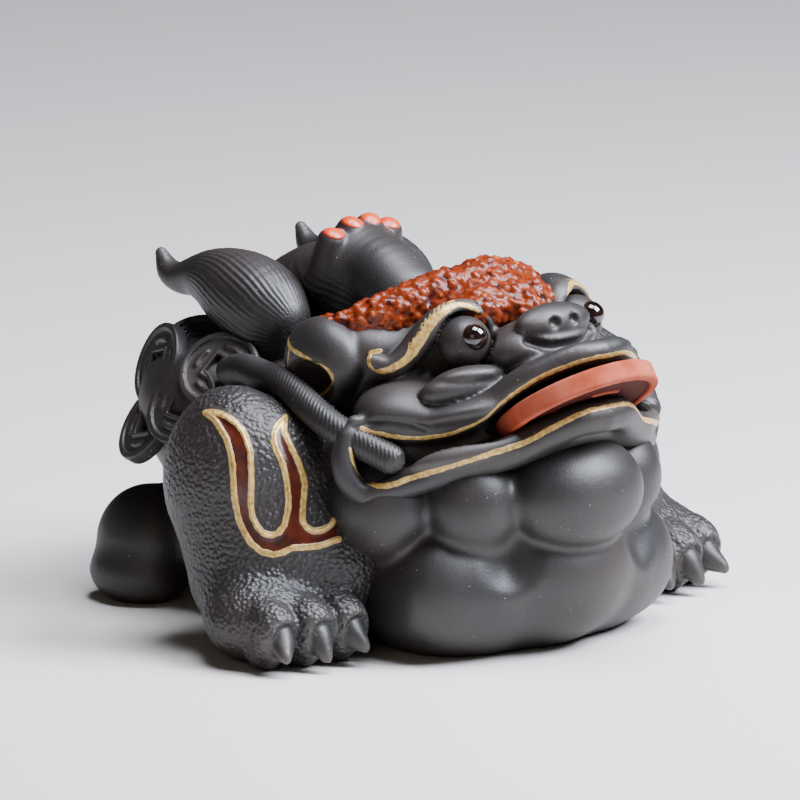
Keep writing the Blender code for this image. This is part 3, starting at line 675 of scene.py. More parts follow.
EAR_GOLD = (
    ((-19.3, 46.9, 0.3), (-19.3, 45.8, 0.35), (-18.7, 44.9, 0.38), (-17.3, 43.9, 0.38), (-14.9, 42.6, 0.38),
     (-12.5, 41.2, 0.38), (-11.8, 40.1, 0.38), (-11.7, 39.0, 0.38), (-12.2, 38.0, 0.38), (-13.1, 37.1, 0.35),
     (-14.5, 36.4, 0.3)),
    ((-19.2, 44.4, 0.25), (-19.4, 42.5, 0.3), (-19.5, 40.2, 0.25)),
)


def by_eye(out, ahead, top):
    """A place measured outwards, forwards and upwards from the middle of the eyeball."""
    return EYE + eye_axes() @ np.array((out, ahead, top), float)


def eye_axes():
    look = LOOK / np.linalg.norm(LOOK)
    out = np.array((-look[1], look[0], 0.0))
    out /= np.linalg.norm(out)
    return np.stack([out, look, np.cross(look, out)], axis=1)


def lip(rows):
    return roll([(x, LIP_FRONT + back, z, radius) for x, back, z, radius in rows])


def head_clay():
    clay = Clay((0, -60, 24), (44, 6, 70), 0.4)
    clay.add_lumps(HEAD)
    clay.cut(lip(GROOVE), 0.8)
    clay.cut(egg(*MOUTH_ROOM), 1.0)
    clay.add(lip(UPPER_LIP), 1.4)
    clay.add(lip(LOWER_LIP), 1.4)
    clay.add_lumps(MUZZLE)
    axes = eye_axes()
    for (out, ahead, top), half in EYE_BAGS:
        clay.add(egg(by_eye(out, ahead, top), half, axes=axes), 0.25)
    clay.add(roll(BROW), 1.0)
    clay.cut(egg(by_eye(*SOCKET), (SOCKET_R,) * 3), 0.3)
    clay.add(egg(EYE, (EYE_R,) * 3), 0.0)
    clay.crease(LIP_CORNER_LINE, 0.5)
    for groove in MUZZLE_GROOVES:
        clay.cut(roll(groove), 0.8)
    clay.cut(egg(*NOSTRIL), 0.3)
    clay.cut(egg(*EAR_HOLLOW), 0.5)
    return clay


def feathers():
    """Short strokes of gold that the brush left on the upper edge of the brow."""
    run = eased(BROW_GOLD[5:10], 3)
    made = []
    for one, two in zip(run, run[1:]):
        way = (two - one)[:2] / np.linalg.norm((two - one)[:2])
        off = np.array((-way[1], way[0])) * 1.5 + way * 2.4
        made.append(((*one[:2], 0.5), (one[0] + off[0] * 0.5, one[1] + off[1] * 0.45, 0.32),
                     (one[0] + off[0], one[1] + off[1], 0.1)))
    return made


def build_head(sizes, colours):
    clay = head_clay()
    finish = fired_clay(sizes, colours, "fired black clay, gilt lines", gilt=True)
    made = clay_piece("toad_head", clay, finish, waver=0.12)
    broad = sizes.gold_width / (1.0 * MM)
    drawings = [*LIP_GOLD, BROW_GOLD, *EAR_GOLD, *feathers()]
    mark_lines(made.data, "gold", clay, [[(a, b, half * broad) for a, b, half in line] for line in drawings])
    hand_over(made, "dark_clay", "toad_body")


# The trunk with its throat lobes and belly

TRUNK = {
    "barrel": ((0, 13, 26), (32, 33, 22), 0, 0),
    "foot pad": ((0, 6, 12), (33, 36, 16), 0, 4),
    "flank": ((19.5, 27, 34), (12, 15, 12.5), 0, 4),
    "belly": ((0, -27.5, 14), (28, 22, 17), 0, 4),
    "belly fold": ((15, -27, 9.5), (15, 18, 11), 0, 4),
    "belly roll": ((22.5, -35.5, 12), (7, 6.5, 8.5), 0, 4),
    "belly middle": ((0, -41, 12.5), (11, 9.5, 10), 0, 4),
    "chest": ((0, -18, 28), (33, 17, 13), 0, 3),
    "haunch": ((27, 35, 10), (9.5, 10, 10), 0, 3),
    "hind foot": ((30, 35, 5), (8, 9.5, 6), 0, 2),
    "middle throat": ((0, -45.2, 28), (13.6, 9.6, 10), 0, 1.5),
    "side throat": ((16.5, -36.8, 27.2), (8.6, 8.6, 9), 0, 2.2),
    "jowl": ((26.7, -24, 26.2), (8.6, 10.5, 9.6), 0, 2.2),
}
BELLY_DIMPLE = ((15.6, -47.0, 19.5), (3.6, 3.6, 5))


def trunk_clay():
    clay = Clay((0, -58, -1), (48, 54, 56), 0.6)
    for name, (centre, half, tilt, blend) in TRUNK.items():
        if name == "middle throat":
            clay.cut(egg(*BELLY_DIMPLE), 4)
        clay.add(egg(centre, half, tilt), blend)
    clay.set_down()
    return clay


def build_trunk(sizes, colours):
    made = clay_piece("toad_trunk", trunk_clay(), fired_clay(sizes, colours))
    hand_over(made, "dark_clay")


# Front legs

LEGS = {
    "shoulder": ((40, -2, 29), (11.5, 14, 16.5), 0, 0),
    "forearm": ((40.5, -6.5, 15), (10.5, 12, 14), 0, 4),
    "paw": ((43.5, -14.5, 7.5), (12, 10.5, 8), 0, 4),
    "armpit": ((30, -12, 16), (13, 14, 14), 0, 3),
    "upper arm": ((34, -7, 29), (10.5, 12, 13.5), 0, 3),
    "elbow": ((36.2, -9.8, 18), (10.4, 11.6, 14.5), 0, 3),
}
# Knuckle across and back, then the claw's tip
TOES = ((49.6, -22.4, 51.4, -28.4, 3.0), (43.0, -24.8, 43.8, -30.4, 2.4), (36.0, -25.6, 35.8, -31.2, 3.0))

# Flame motif on the outside of the shoulder, across and above
FLAME_OUTER = (
    (-33.6, 33.8), (-32.0, 32.6), (-30.9, 30.9), (-29.9, 29.2), (-29.3, 27.2), (-28.9, 25.0), (-28.7, 22.3),
    (-28.6, 19.7), (-28.3, 17.6), (-27.7, 15.1), (-26.8, 13.0), (-25.5, 11.1), (-23.8, 9.8), (-21.9, 9.3),
    (-20.2, 9.7), (-18.7, 10.4), (-16.3, 10.6), (-14.0, 10.8), (-11.9, 11.5), (-10.6, 12.0),
)
FLAME_INNER = (
    (-33.6, 33.8), (-32.0, 33.9), (-30.1, 33.3), (-28.4, 32.2), (-27.1, 30.7), (-26.4, 29.0), (-25.8, 27.1),
    (-25.7, 24.6), (-25.6, 21.9), (-25.7, 19.5), (-25.7, 17.4), (-25.4, 15.7), (-24.6, 14.2), (-23.5, 13.0),
    (-22.1, 12.6), (-20.8, 13.2), (-19.9, 14.5), (-19.4, 16.4), (-19.2, 18.5), (-19.4, 21.2), (-19.8, 23.4),
    (-20.4, 25.5), (-21.2, 27.2), (-21.7, 28.8), (-21.7, 30.3), (-21.0, 31.8), (-19.8, 33.0),
)
FLAME_RIGHT = (
    (-19.8, 33.0), (-19.9, 31.6), (-19.9, 30.3), (-19.1, 28.6), (-18.3, 26.9), (-17.4, 25.0), (-16.7, 23.1),
    (-16.4, 21.2), (-16.6, 18.9), (-16.8, 16.8), (-16.8, 15.1), (-16.1, 14.0), (-14.7, 13.3), (-13.2, 13.6),
    (-11.9, 14.5), (-11.1, 15.5),
)
FLAME_HALF = 0.52
# The clay stands up in a low ridge under the flame's gold line: its height and half width
FLAME_RIDGE = 0.28
FLAME_RIDGE_HALF = 0.7


def claws():
    made = []
    for kx, ky, tx, ty, tz in TOES:
        made.append(roll([(kx + 0.1, ky - 0.5, 7.4, 2.9), (kx + 0.4, ky - 2.4, 5.6, 2.5),
                          (tx, ty + 0.8, tz + 0.8, 1.2), (tx, ty, tz, 0.4)]))
    return made


def leg_clay():
    clay = Clay((0, -38, -1), (60, 16, 50), 0.45)
    clay.add_lumps(LEGS)
    for (kx, ky, *_), claw in zip(TOES, claws()):
        clay.add(roll([(kx - 1, ky + 7, 9.5, 3.4), (kx, ky + 1, 8.6, 4.0), (kx + 0.2, ky - 0.6, 6.6, 4.0),
                       (kx, ky + 2, 3.6, 3.6)]), 0.8)
        # The claw is a flat wedge that comes out from under the toe's hood
        clay.cut(egg((kx + 0.3, ky - 4.2, 6.2), (2.9, 2.2, 3.6), 24), 0.3)
        clay.add(claw, 0.2)
    clay.set_down()
    return clay


def flame(spots, clay):
    """How far each spot lies from the flame's gold line, and how far inside its red glaze."""
    side = spots.copy()
    side[:, 0] = np.abs(side[:, 0])
    flat = np.column_stack([side @ ACROSS, side @ ABOVE, np.zeros(len(side))])
    lines = [[(a, b, 0.0, 0.0) for a, b in line] for line in (FLAME_OUTER, FLAME_INNER, FLAME_RIGHT)]
    gap = line_gap(flat, [np.array(line) for line in lines])
    ring = np.array([*FLAME_OUTER, *FLAME_RIGHT[::-1], *FLAME_INNER[::-1]])
    inside = np.zeros(len(flat), bool)
    for (ax, ay), (bx, by) in zip(ring, np.roll(ring, -1, axis=0)):
        if ay != by:
            level = (ay > flat[:, 1]) != (by > flat[:, 1])
            inside ^= level & (flat[:, 0] < (bx - ax) * (flat[:, 1] - ay) / (by - ay) + ax)
    seen = clay.slope(side) @ SIGHT > 0.12
    return np.where(seen, gap, 9.0), np.where(seen & inside, gap, -np.where(seen, gap, 9.0))


def build_legs(sizes, colours):
    clay = leg_clay()
    nails = claws()

    def rough(spots):
        gap, wet = flame(spots, clay)
        made = np.clip((gap - 0.7) / 0.5, 0, 1) * (wet < 0)
        for _, _, distance in nails:
            away = distance(np.abs(spots[:, 0]), spots[:, 1], spots[:, 2])
            made *= np.clip((away - 0.1) / 0.4, 0, 1)
        return made

    def raised(spots):
        gap, _ = flame(spots, clay)
        return FLAME_RIDGE * np.exp(-(gap / FLAME_RIDGE_HALF) ** 2)

    finish = fired_clay(sizes, colours, "fired black clay, flame motif", True, True,
                        (colours.flame_deep, colours.flame))
    made = clay_piece("front_legs", clay, finish, rough, raised)
    spots = points_of(made.data)
    gap, wet = flame(spots, clay)
    set_mark(made.data, "gold", FLAME_HALF * sizes.gold_width / (1.0 * MM) - gap)
    set_mark(made.data, "glaze", wet)
    set_mark(made.data, "rough", rough(spots))
    hand_over(made, "dark_clay")


# Hair and third leg

PLUME = (
    (15, 15, 51.5, 5.5), (15, 19, 53, 7.4), (15.2, 24, 54.4, 7.4), (15.6, 29.5, 55.8, 5.6),
    (16, 34.5, 55.8, 3.8), (16.2, 39, 54.8, 2.8), (16.4, 42.2, 55.6, 2.2), (16.4, 44.4, 58.4, 1.1),
)
PLUME_ROOT = ((14, 19, 47), (6.5, 8, 7))
THIRD_LEG = ((0, 40, 24, 11), (0, 37, 38, 9.5), (0, 29, 48, 8.5), (0, 20, 54, 8), (0, 11, 54.5, 8))
HEEL = ((0, 10.5, 60.5, 6.4), (0, 4, 58, 7), (0, -1, 55, 7.2))
PALM = ((0, 11.0, 59.5), (9.0, 5.5, 7.0))
FOOT_TOES = (
    ((2.3, 13, 58.5, 4), (2.4, 11.4, 62.8, 3.2), (2.2, 10.6, 65.8, 2.5)),
    ((6.0, 13, 57, 4), (6.5, 11.4, 61.2, 3.2), (6.6, 10.6, 64.3, 2.6)),
)
TOE_NAILS = ((2.2, 9.8, 67.6), (6.6, 9.8, 66.2))
# Combed grooves: height, number round the plume and the heel, and how far they wind for each millimetre
COMB_DEPTH = 0.07
PLUME_GROOVES = 42
HEEL_GROOVES = 46
COMB_LEAN = 0.02


def hair_clay():
    clay = Clay((0, 3, 38), (30, 50, 68), 0.28)
    clay.add(roll(PLUME), 0)
    clay.add(egg(*PLUME_ROOT), 3)
    return clay


def build_hair(sizes, colours):
    made = clay_piece("hair_plumes", hair_clay(), fired_clay(sizes, colours), waver=0.15,
                      raised=lambda spots: combed(np.abs(spots), PLUME, PLUME_GROOVES))
    hand_over(made, "dark_clay")


def third_leg_clay():
    clay = Clay((0, -10, 20), (16, 52, 71), 0.34)
    clay.add(roll(THIRD_LEG), 0)
    clay.add(roll(HEEL), 2.5)
    clay.add(egg(*PALM), 2.5)
    for toe in FOOT_TOES:
        clay.add(roll(toe), 0.6)
    return clay


def build_third_leg(sizes, colours):
    clay = third_leg_clay()

    def raised(spots):
        side = np.clip((np.abs(spots[:, 0]) - 3.0) / 2.5, 0, 1) * np.clip((60.0 - spots[:, 2]) / 2.0, 0, 1)
        return combed(np.abs(spots), HEEL, HEEL_GROOVES) * side

    finish = fired_clay(sizes, colours, "fired black clay, painted nails",
                        glaze=(colours.nail_deep, colours.nail))
    made = clay_piece("third_leg", clay, finish, raised=raised, waver=0.15)
    spots = np.abs(points_of(made.data))
    nails = [np.linalg.norm((spots - nail) / (1.9, 2.2, 1.3), axis=1) for nail in TOE_NAILS]
    set_mark(made.data, "glaze", 1.0 - np.min(nails, axis=0))
    hand_over(made, "dark_clay")


# The red patch

PATCH = (
    (26.5, -9.5, 55.4, 1.8), (24, -13, 55.6, 2.8), (19, -16.5, 57.2, 4), (13.5, -19, 58.6, 4.4),
    (7, -21, 60.2, 4.6), (0, -22.5, 60.6, 4.7),
)
PATCH_TONGUE = ((0, -22.5, 60.3, 4.8), (0, -30, 58.6, 4.4), (0, -35, 56.6, 3), (0, -37.4, 55.6, 1.6))
PATCH_SPREAD = ((6, -28, 58.5), (6, 5, 4))
PATCH_LEFT_SHARE = 0.74


def patch_clay():
    clay = Clay((0, -42, 46), (34, 0, 70), 0.36)
    clay.add(roll(PATCH), 0)
    clay.add(roll(PATCH_TONGUE), 3)
    clay.add(egg(*PATCH_SPREAD), 2)
    return clay


def build_patch(sizes, colours):
    made = clay_piece("gravel_patch", patch_clay(), gravel_glaze(colours), lambda spots: np.ones(len(spots)),
                      pebble=sizes.gravel / MM, height=0.4, waver=0.9)
    # The glaze was poured from the right and stops short on the left side of the crown
    spots = points_of(made.data)
    spots[:, 0] *= np.where(spots[:, 0] > 0, PATCH_LEFT_SHARE, 1.0)
    made.data.vertices.foreach_set("co", (spots * MM).astype(np.float32).ravel())
    made.data.update()
    hand_over(made, "dark_clay")


# Coins

def drum(radius, low, high, edge=0.4):
    """An upright drum round the Z axis with a rounded edge."""

    def distance(x, y, z):
        side = np.sqrt(x * x + y * y) - radius
        return -smooth_min(-side, -np.maximum(low - z, z - high), edge)

    return np.array((-radius, -radius, low)), np.array((radius, radius, high)), distance


def block(half, edge=0.2):
    """An upright block in the middle with rounded edges."""

    def distance(x, y, z):
        best = -smooth_min(-(np.abs(x) - half[0]), -(np.abs(y) - half[1]), edge)
        return -smooth_min(-best, -(np.abs(z) - half[2]), edge)

    return -np.array(half), np.array(half), distance


MARK_TURNS = (0, 90, 270)


def coin_clay(radius, thick, rim, relief, hole, grain):
    """A cast coin lying flat: raised rim, square hole in a raised frame, and plain marks on each face."""
    clay = Clay((0, -radius - 1, -thick), (radius + 1, radius + 1, thick), grain)
    half = thick / 2
    clay.add(drum(radius, -half, half), 0)
    for low, high in ((half - relief, half + 1), (-half - 1, relief - half)):
        clay.cut(drum(radius - rim, low, high, 0.1), 0.15)
    frame_half = hole * 0.5 + rim * 0.55
    clay.add(block((frame_half, frame_half, half - 0.05)), 0.15)
    clay.cut(block((hole * 0.5, hole * 0.5, half + 1)), 0.1)
    middle = (radius - rim + frame_half) / 2
    for side in (half - relief, relief - half):
        for turn in MARK_TURNS:
            arc = [math.radians(turn + step) for step in (-20, 0, 20)]
            bar = [(math.cos(a) * middle, math.sin(a) * middle, side, relief * 0.9) for a in arc]
            clay.add(roll(bar), 0.1)
    return clay


# Radius, thickness, width and height of the rim, width of the hole, and grain of the clay
PILE_COIN = (7.4, 2.6, 1.2, 0.5, 4.2, 0.22)
MOUTH_COIN = (14.6, 3.6, 1.7, 0.5, 5.0, 0.3)
PILE_COIN_TRIANGLES = 7000

# Coins heaped on each flank: centre, the way the face looks
PILE = (
    ((25.2, 18.8, 42.6), (0.69, -0.31, 0.65)),
    ((30.3, 22.5, 36.4), (0.80, -0.05, 0.55)),
    ((30.7, 31.3, 32.0), (0.80, 0.28, 0.53)),
    ((25.6, 34.0, 41.4), (0.88, 0.30, 0.36)),
    ((20.0, 30.5, 43.6), (0.55, -0.30, 0.78)),
    ((21.5, 39.0, 35.0), (0.50, 0.66, 0.56)),
)


def pile_tree(coin, finish):
    """Geometry Nodes: sets the coin on each point of the heap, turned the way that the point says."""
    tree, add, start = geometry_tree("heaped coins", "Coin Size")
    source = add("GeometryNodeObjectInfo", {"Object": coin})
    facing = add("GeometryNodeInputNamedAttribute", {"data_type": "FLOAT_VECTOR", "Name": "facing"})
    aim = add("FunctionNodeAlignRotationToVector", {"axis": "Z", "Vector": (facing, 0)})
    dots = add("GeometryNodeMeshToPoints", {"Mesh": (start, "Geometry")})
    placed = add("GeometryNodeInstanceOnPoints", {"Points": (dots, 0), "Instance": (source, "Geometry"),
                                                  "Rotation": (aim, 0), "Scale": (start, "Coin Size")})
    real = add("GeometryNodeRealizeInstances", {"Geometry": (placed, 0)})
    dress = add("GeometryNodeSetMaterial", {"Geometry": (real, 0), "Material": finish})
    add("NodeGroupOutput", {0: (dress, 0)})
    return tree


def build_pile(sizes, colours):
    finish = fired_clay(sizes, colours)
    points, faces = coin_clay(*PILE_COIN).skin()
    coin = add_object("coin", mesh_from("coin", points, faces), finish)
    thin = coin.modifiers.new("thin", "DECIMATE")
    thin.ratio = PILE_COIN_TRIANGLES / (len(faces) * 2)
    settle(coin)
    dots = bpy.data.meshes.new("heap")
    sides = ((1, 1, 1), MIRROR)
    dots.from_pydata([Vector(spot) * MM for at, _ in PILE for spot in np.multiply(at, sides)], [], [])
    facing = dots.attributes.new("facing", "FLOAT_VECTOR", "POINT")
    ways = np.array([np.multiply(way, sides) for _, way in PILE], np.float32)
    facing.data.foreach_set("vector", ways.ravel())
    made = add_object("heaped_coins", dots)
    heap = made.modifiers.new("heap", "NODES")
    heap.node_group = pile_tree(coin, finish)
    set_inputs(heap, Coin_Size=1.0)
    settle(made)
    bpy.data.objects.remove(coin)
    hand_over(made, "dark_clay")


COIN_AT = (0.0, -45.6, 43.6)
COIN_PITCH = math.radians(34.0)
# Painted shade darkens the face inside the rim: its radius, the height where it starts, and how softly
SUNK_R = 13.2
SUNK_TOP = 1.7
SUNK_FADE = 0.3


def build_mouth_coin(sizes, colours):
    points, faces = coin_clay(*MOUTH_COIN).skin()
    inside = np.hypot(points[:, 0], points[:, 1]) < SUNK_R
    # How much painted shade each point of the faces inside the rim gets
    sunk = np.clip((SUNK_TOP - np.abs(points[:, 2])) / SUNK_FADE, 0, 1) * inside
    tilt = np.array(Matrix.Rotation(-COIN_PITCH, 3, "X"))
    mesh = mesh_from("mouth_coin_face", points @ tilt.T + np.array(COIN_AT), faces)
    set_mark(mesh, "sunk", sunk)
    hand_over(add_object("mouth_coin_face", mesh, red_clay(colours)), "red_clay", "mouth_coin")


# Ropes

ROPE = ((29, -33, 35), (34, -20.8, 40.5), (33, -8, 45.2), (31, 1, 45.6), (28, 9.5, 45), (25, 17.5, 42.6))
ROPE_LEAD = 12.0


def rope_tree(finish):
    """Geometry Nodes: a round rod along a curve, with fine grooves that wind round it."""
    tree, add, start = geometry_tree("hatched rope", "Radius", "Groove Spacing", "Groove Depth", "Lead")
    run = add("GeometryNodeResampleCurve", {"mode": "LENGTH", "Length": 0.16 * MM, "Curve": (start, 0)})
    length = add("GeometryNodeSplineParameter")
    run = add("GeometryNodeStoreNamedAttribute",
              {"data_type": "FLOAT", "domain": "POINT", "Name": "along", "Geometry": (run, 0),
               "Value": (length, "Length")})
    ring = add("GeometryNodeCurvePrimitiveCircle", {"Resolution": 40, "Radius": (start, "Radius")})
    share = add("GeometryNodeSplineParameter")
    ring = add("GeometryNodeStoreNamedAttribute",
               {"data_type": "FLOAT", "domain": "POINT", "Name": "turn", "Geometry": (ring, 0),
                "Value": (share, "Factor")})
    size = add("GeometryNodeInputRadius")
    rod = add("GeometryNodeCurveToMesh",
              {"Fill Caps": True, "Curve": (run, 0), "Profile Curve": (ring, 0), "Scale": (size, 0)})
    along = add("GeometryNodeInputNamedAttribute", {"data_type": "FLOAT", "Name": "along"})
    turn = add("GeometryNodeInputNamedAttribute", {"data_type": "FLOAT", "Name": "turn"})
    place = add("ShaderNodeMath",
                {"operation": "MULTIPLY_ADD", 0: (turn, 0), 1: (start, "Lead"), 2: (along, 0)})
    phase = add("ShaderNodeMath", {"operation": "DIVIDE", 0: (place, 0), 1: (start, "Groove Spacing")})
    phase = add("ShaderNodeMath", {"operation": "MULTIPLY", 0: (phase, 0), 1: 2 * math.pi})
    wave = add("ShaderNodeMath", {"operation": "SINE", 0: (phase, 0)})
    depth = add("ShaderNodeMath", {"operation": "MULTIPLY", 0: (wave, 0), 1: (start, "Groove Depth")})
    way = add("GeometryNodeInputNormal")
    push = add("ShaderNodeVectorMath", {"operation": "SCALE", 0: (way, 0), "Scale": (depth, 0)})
    move = add("GeometryNodeSetPosition", {"Geometry": (rod, 0), "Offset": (push, 0)})
    dress = add("GeometryNodeSetMaterial", {"Geometry": (move, 0), "Material": finish})
    add("NodeGroupOutput", {0: (dress, 0)})
    return tree


def build_ropes(sizes, colours):
    tree = rope_tree(fired_clay(sizes, colours))
    radius = sizes.rope_radius / MM
    run = eased(ROPE, 14)
    travelled = np.append(0.0, np.cumsum(np.linalg.norm(np.diff(run, axis=0), axis=1)))
    to_end = np.minimum(travelled, travelled[-1] - travelled)
    # The ends of the rope are rounded over
    full = np.sqrt(np.maximum(1 - (1 - np.minimum(to_end / radius, 1)) ** 2, 0.03))
    for side, sign in (("left", 1), ("right", -1)):
        guide = bpy.data.curves.new(side + "_rope", "CURVE")
        guide.dimensions = "3D"
        line = guide.splines.new("POLY")
        line.points.add(len(run) - 1)
        for point, (x, y, z), size in zip(line.points, run, full):
            point.co = (x * sign * MM, y * MM, z * MM, 1.0)
            point.radius = size
        made = bpy.data.objects.new(side + "_guide", guide)
        bpy.context.scene.collection.objects.link(made)
        wind = made.modifiers.new("wind", "NODES")
        wind.node_group = tree
        set_inputs(wind, Radius=sizes.rope_radius, Groove_Spacing=sizes.rope_groove,
                   Groove_Depth=sizes.rope_groove * 0.16, Lead=ROPE_LEAD * MM * sign)
        mesh = bpy.data.meshes.new_from_object(made.evaluated_get(bpy.context.evaluated_depsgraph_get()))
        mesh.shade_smooth()
        bpy.data.objects.remove(made)
        bpy.data.curves.remove(guide)
        hand_over(add_object(side + "_rope", mesh), "dark_clay")


# Beads

BEAD_AHEAD = 3.7


def build_beads(sizes, colours):
    finish = bead_glaze(colours)
    for side, sign in (("left", 1), ("right", -1)):
        centre = (EYE + LOOK / np.linalg.norm(LOOK) * BEAD_AHEAD) * (sign, 1, 1)
        ball = bmesh.new()
        bmesh.ops.create_uvsphere(ball, u_segments=48, v_segments=32, radius=sizes.bead_radius)
        mesh = bpy.data.meshes.new(side + "_bead")
        ball.to_mesh(mesh)
        ball.free()
        mesh.transform(Matrix.Translation(Vector(centre) * MM))
        mesh.shade_smooth()
        hand_over(add_object(side + "_bead", mesh, finish), "glazed_bead", side + "_pupil_bead")


# Camera, lights and floor

CAMERA_AWAY = 3000.0
PIXEL = 0.175
PICTURE = 800
HORIZON_ROW = 605.6
LAMPS = (
    ("key softbox", (270, -340, 480), 340, 16.5, "#eaf1ff"),
    ("side softbox", (-420, -260, 200), 260, 0.2, "#ffe3c8"),
    ("top softbox", (30, -70, 560), 260, 6.0, "#eef3ff"),
)
LAMP_TARGET = (0, -10, 35)
STUDIO_STRENGTH = 0.05
SENSOR = 36.0
FLOOR_REACH = 3.0


def build_stage(sizes, colours):
    """Camera at the photograph's viewing angle, soft studio lights and a pale floor."""
    right, up, back = (Vector(way * MIRROR) for way in (ACROSS, ABOVE, SIGHT))
    eye = (up * (HORIZON_ROW - PICTURE / 2) * PIXEL + back * CAMERA_AWAY) * MM
    data = bpy.data.cameras.new("camera")
    data.sensor_width = SENSOR
    data.lens = SENSOR * CAMERA_AWAY / (PICTURE * PIXEL)
    camera = bpy.data.objects.new("camera", data)
    camera.matrix_world = Matrix.Translation(eye) @ Matrix((right, up, back)).transposed().to_4x4()
    scene = bpy.context.scene
    scene.collection.objects.link(camera)
    scene.camera = camera
    world = bpy.data.worlds.new("studio")
    scene.world = world
    world.use_nodes = True
    world.node_tree.nodes["Background"].inputs[0].default_value = colours.studio
    world.node_tree.nodes["Background"].inputs[1].default_value = STUDIO_STRENGTH
    target = Vector(LAMP_TARGET) * MM
    for name, spot, size, power, tint in LAMPS:
        lamp = bpy.data.lights.new(name, "AREA")
        lamp.shape = "SQUARE"
        lamp.size = size * MM
        lamp.energy = power
        lamp.color = colour(tint)[:3]
        made = bpy.data.objects.new(name, lamp)
        made.location = Vector(spot) * MM
        made.rotation_euler = (made.location - target).to_track_quat("Z", "Y").to_euler()
        scene.collection.objects.link(made)
    sheet = bmesh.new()
    bmesh.ops.create_grid(sheet, x_segments=2, y_segments=2, size=FLOOR_REACH)
    mesh = bpy.data.meshes.new("floor")
    sheet.to_mesh(mesh)
    sheet.free()
    finish, _, shader, _ = new_material("pale studio floor")
    shader.inputs["Base Color"].default_value = colours.floor
    shader.inputs["Roughness"].default_value = 0.8
    add_object("floor", mesh, finish)


# What a user can change

def length(name, description, millimetres):
    return bpy.props.FloatProperty(name=name, description=description, default=millimetres * MM, min=0.0001,
                                   unit="LENGTH", subtype="DISTANCE", precision=5)


def tint(name, description, text):
    return bpy.props.FloatVectorProperty(name=name, description=description, default=colour(text), size=4,
                                         min=0.0, max=1.0, subtype="COLOR")


class ToadSizes(bpy.types.PropertyGroup):
    """Sizes of the toad's fine work."""

    gold_width: length("Gold Line Width", "Width of the brushed gold lines", 1.0)
    rope_radius: length("Rope Radius", "Radius of the ropes", 2.6)
    rope_groove: length("Rope Groove", "Spacing of the grooves that wind round the ropes", 0.85)
    bead_radius: length("Bead Radius", "Radius of the glazed pupil beads", 2.4)
    pebble: length("Pebble Size", "Spacing of the fine pebbles on the front legs", 0.85)
    gravel: length("Gravel Size", "Spacing of the lumps in the red patch", 1.7)


class ToadColours(bpy.types.PropertyGroup):
    """Colours of the toad's clays, glazes and gold, and of the studio."""

    clay: tint("Black Clay", "Main colour of the black clay", "#202021")
    warm_clay: tint("Warm Clay", "Black clay that fired browner", "#2a221f")
    dust: tint("Clay Dust", "Paler grains in the clay", "#3a3330")
    mica: tint("Mica", "Mica specks", "#8a8278")
    # Paler clay for ridges and pebble crests: partly handling wear, partly painted light
    wear_and_painted_light_clay: tint("Worn Clay", "Clay polished by handling", "#413b38")
    gold: tint("Gold", "Gold line where the brush was full", "#dcb870")
    thin_gold: tint("Thin Gold", "Gold line where the brush ran dry", "#9c7636")
    flame: tint("Flame", "Red glaze of the flame motif", "#511a09")
    flame_deep: tint("Deep Flame", "Thick red glaze of the flame motif", "#2c0a05")
    nail: tint("Toe Nail", "Orange-red glaze on the raised foot's nails", "#cc4416")
    nail_deep: tint("Deep Toe Nail", "Thick glaze on the raised foot's nails", "#c03a14")
    gravel: tint("Gravel", "Red gravel glaze", "#72290f")
    gravel_pale: tint("Pale Gravel", "Thin gravel glaze on edges", "#a6552e")
    gravel_deep: tint("Deep Gravel", "Gravel glaze in pits", "#2c0804")
    coin: tint("Coin", "Red clay of the mouth coin", "#8e3a20")
    coin_pale: tint("Pale Coin", "Dusty red clay", "#a95742")
    # Painted shade for the face inside the mouth coin's rim
    coin_shade: tint("Deep Coin", "Sunk face of the coin", "#3e150d")
    bead: tint("Bead", "Bead glaze", "#2a1712")
    bead_deep: tint("Deep Bead", "Thick bead glaze", "#0c0605")
    studio: tint("Studio", "Light that fills the studio", "#cdd2dc")
    floor: tint("Floor", "Studio floor", "#d2cfca")


# Operators, in the order that they run

def run_step(build, context):
    build(context.scene.toad_sizes, context.scene.toad_colours)
    return {"FINISHED"}


class TEAPET_OT_stage(bpy.types.Operator):
    """Adds the camera, the lights and the floor"""

    bl_idname = "teapet.stage"
    bl_label = "Studio"

    def execute(self, context):
        return run_step(build_stage, context)


class TEAPET_OT_head(bpy.types.Operator):
    """Models the head with its lips, lidded eyes, ears and gold lines"""

    bl_idname = "teapet.head"
    bl_label = "Head"

    def execute(self, context):
        return run_step(build_head, context)


class TEAPET_OT_trunk(bpy.types.Operator):
    """Models the trunk with its throat lobes, belly and haunches"""

    bl_idname = "teapet.trunk"
    bl_label = "Trunk"

    def execute(self, context):
        return run_step(build_trunk, context)


class TEAPET_OT_legs(bpy.types.Operator):
    """Models the front legs with their claws, pebbles and flame motif"""

    bl_idname = "teapet.legs"
    bl_label = "Front Legs"

    def execute(self, context):
        return run_step(build_legs, context)


class TEAPET_OT_hair(bpy.types.Operator):
    """Models the two combed plumes of hair"""

    bl_idname = "teapet.hair"
    bl_label = "Hair Plumes"

    def execute(self, context):
        return run_step(build_hair, context)


class TEAPET_OT_third_leg(bpy.types.Operator):
    """Models the third leg that curls over the back, with its painted nails"""

    bl_idname = "teapet.third_leg"
    bl_label = "Third Leg"

    def execute(self, context):
        return run_step(build_third_leg, context)


class TEAPET_OT_patch(bpy.types.Operator):
    """Lays the red gravel glaze over the crown"""

    bl_idname = "teapet.patch"
    bl_label = "Gravel Patch"

    def execute(self, context):
        return run_step(build_patch, context)


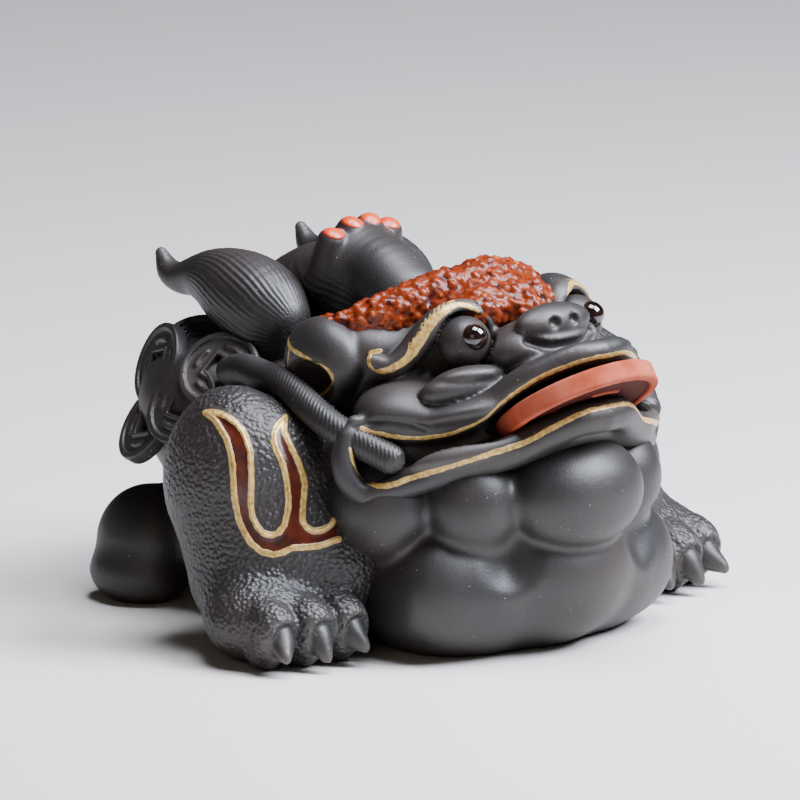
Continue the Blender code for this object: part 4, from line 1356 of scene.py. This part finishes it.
class TEAPET_OT_pile(bpy.types.Operator):
    """Heaps the coins on both flanks"""

    bl_idname = "teapet.pile"
    bl_label = "Heaped Coins"

    def execute(self, context):
        return run_step(build_pile, context)


class TEAPET_OT_mouth_coin(bpy.types.Operator):
    """Models the loose red clay coin in the mouth"""

    bl_idname = "teapet.mouth_coin"
    bl_label = "Mouth Coin"

    def execute(self, context):
        return run_step(build_mouth_coin, context)


class TEAPET_OT_ropes(bpy.types.Operator):
    """Lays a rope from each mouth corner to the coins"""

    bl_idname = "teapet.ropes"
    bl_label = "Ropes"

    def execute(self, context):
        return run_step(build_ropes, context)


class TEAPET_OT_beads(bpy.types.Operator):
    """Sets a glazed bead in each eye"""

    bl_idname = "teapet.beads"
    bl_label = "Beads"

    def execute(self, context):
        return run_step(build_beads, context)


STEPS = (
    TEAPET_OT_stage, TEAPET_OT_head, TEAPET_OT_trunk, TEAPET_OT_legs, TEAPET_OT_hair, TEAPET_OT_third_leg,
    TEAPET_OT_patch, TEAPET_OT_pile, TEAPET_OT_mouth_coin, TEAPET_OT_ropes, TEAPET_OT_beads,
)


class TEAPET_PT_panel(bpy.types.Panel):
    """Lists the steps that build the toad"""

    bl_label = "Tea Pet"
    bl_idname = "TEAPET_PT_panel"
    bl_space_type = "VIEW_3D"
    bl_region_type = "UI"
    bl_category = "Tea Pet"

    def draw(self, context):
        for step in STEPS:
            self.layout.operator(step.bl_idname)
        for group in (context.scene.toad_sizes, context.scene.toad_colours):
            for name in group.__annotations__:
                self.layout.prop(group, name)


CLASSES = (ToadSizes, ToadColours, *STEPS, TEAPET_PT_panel)


def register():
    for kind in CLASSES:
        bpy.utils.register_class(kind)
    bpy.types.Scene.toad_sizes = bpy.props.PointerProperty(type=ToadSizes)
    bpy.types.Scene.toad_colours = bpy.props.PointerProperty(type=ToadColours)


def unregister():
    del bpy.types.Scene.toad_colours
    del bpy.types.Scene.toad_sizes
    for kind in reversed(CLASSES):
        bpy.utils.unregister_class(kind)


def main():
    register()
    for step in STEPS:
        getattr(bpy.ops.teapet, step.bl_idname.partition(".")[2])()


if __name__ == "__main__":
    main()
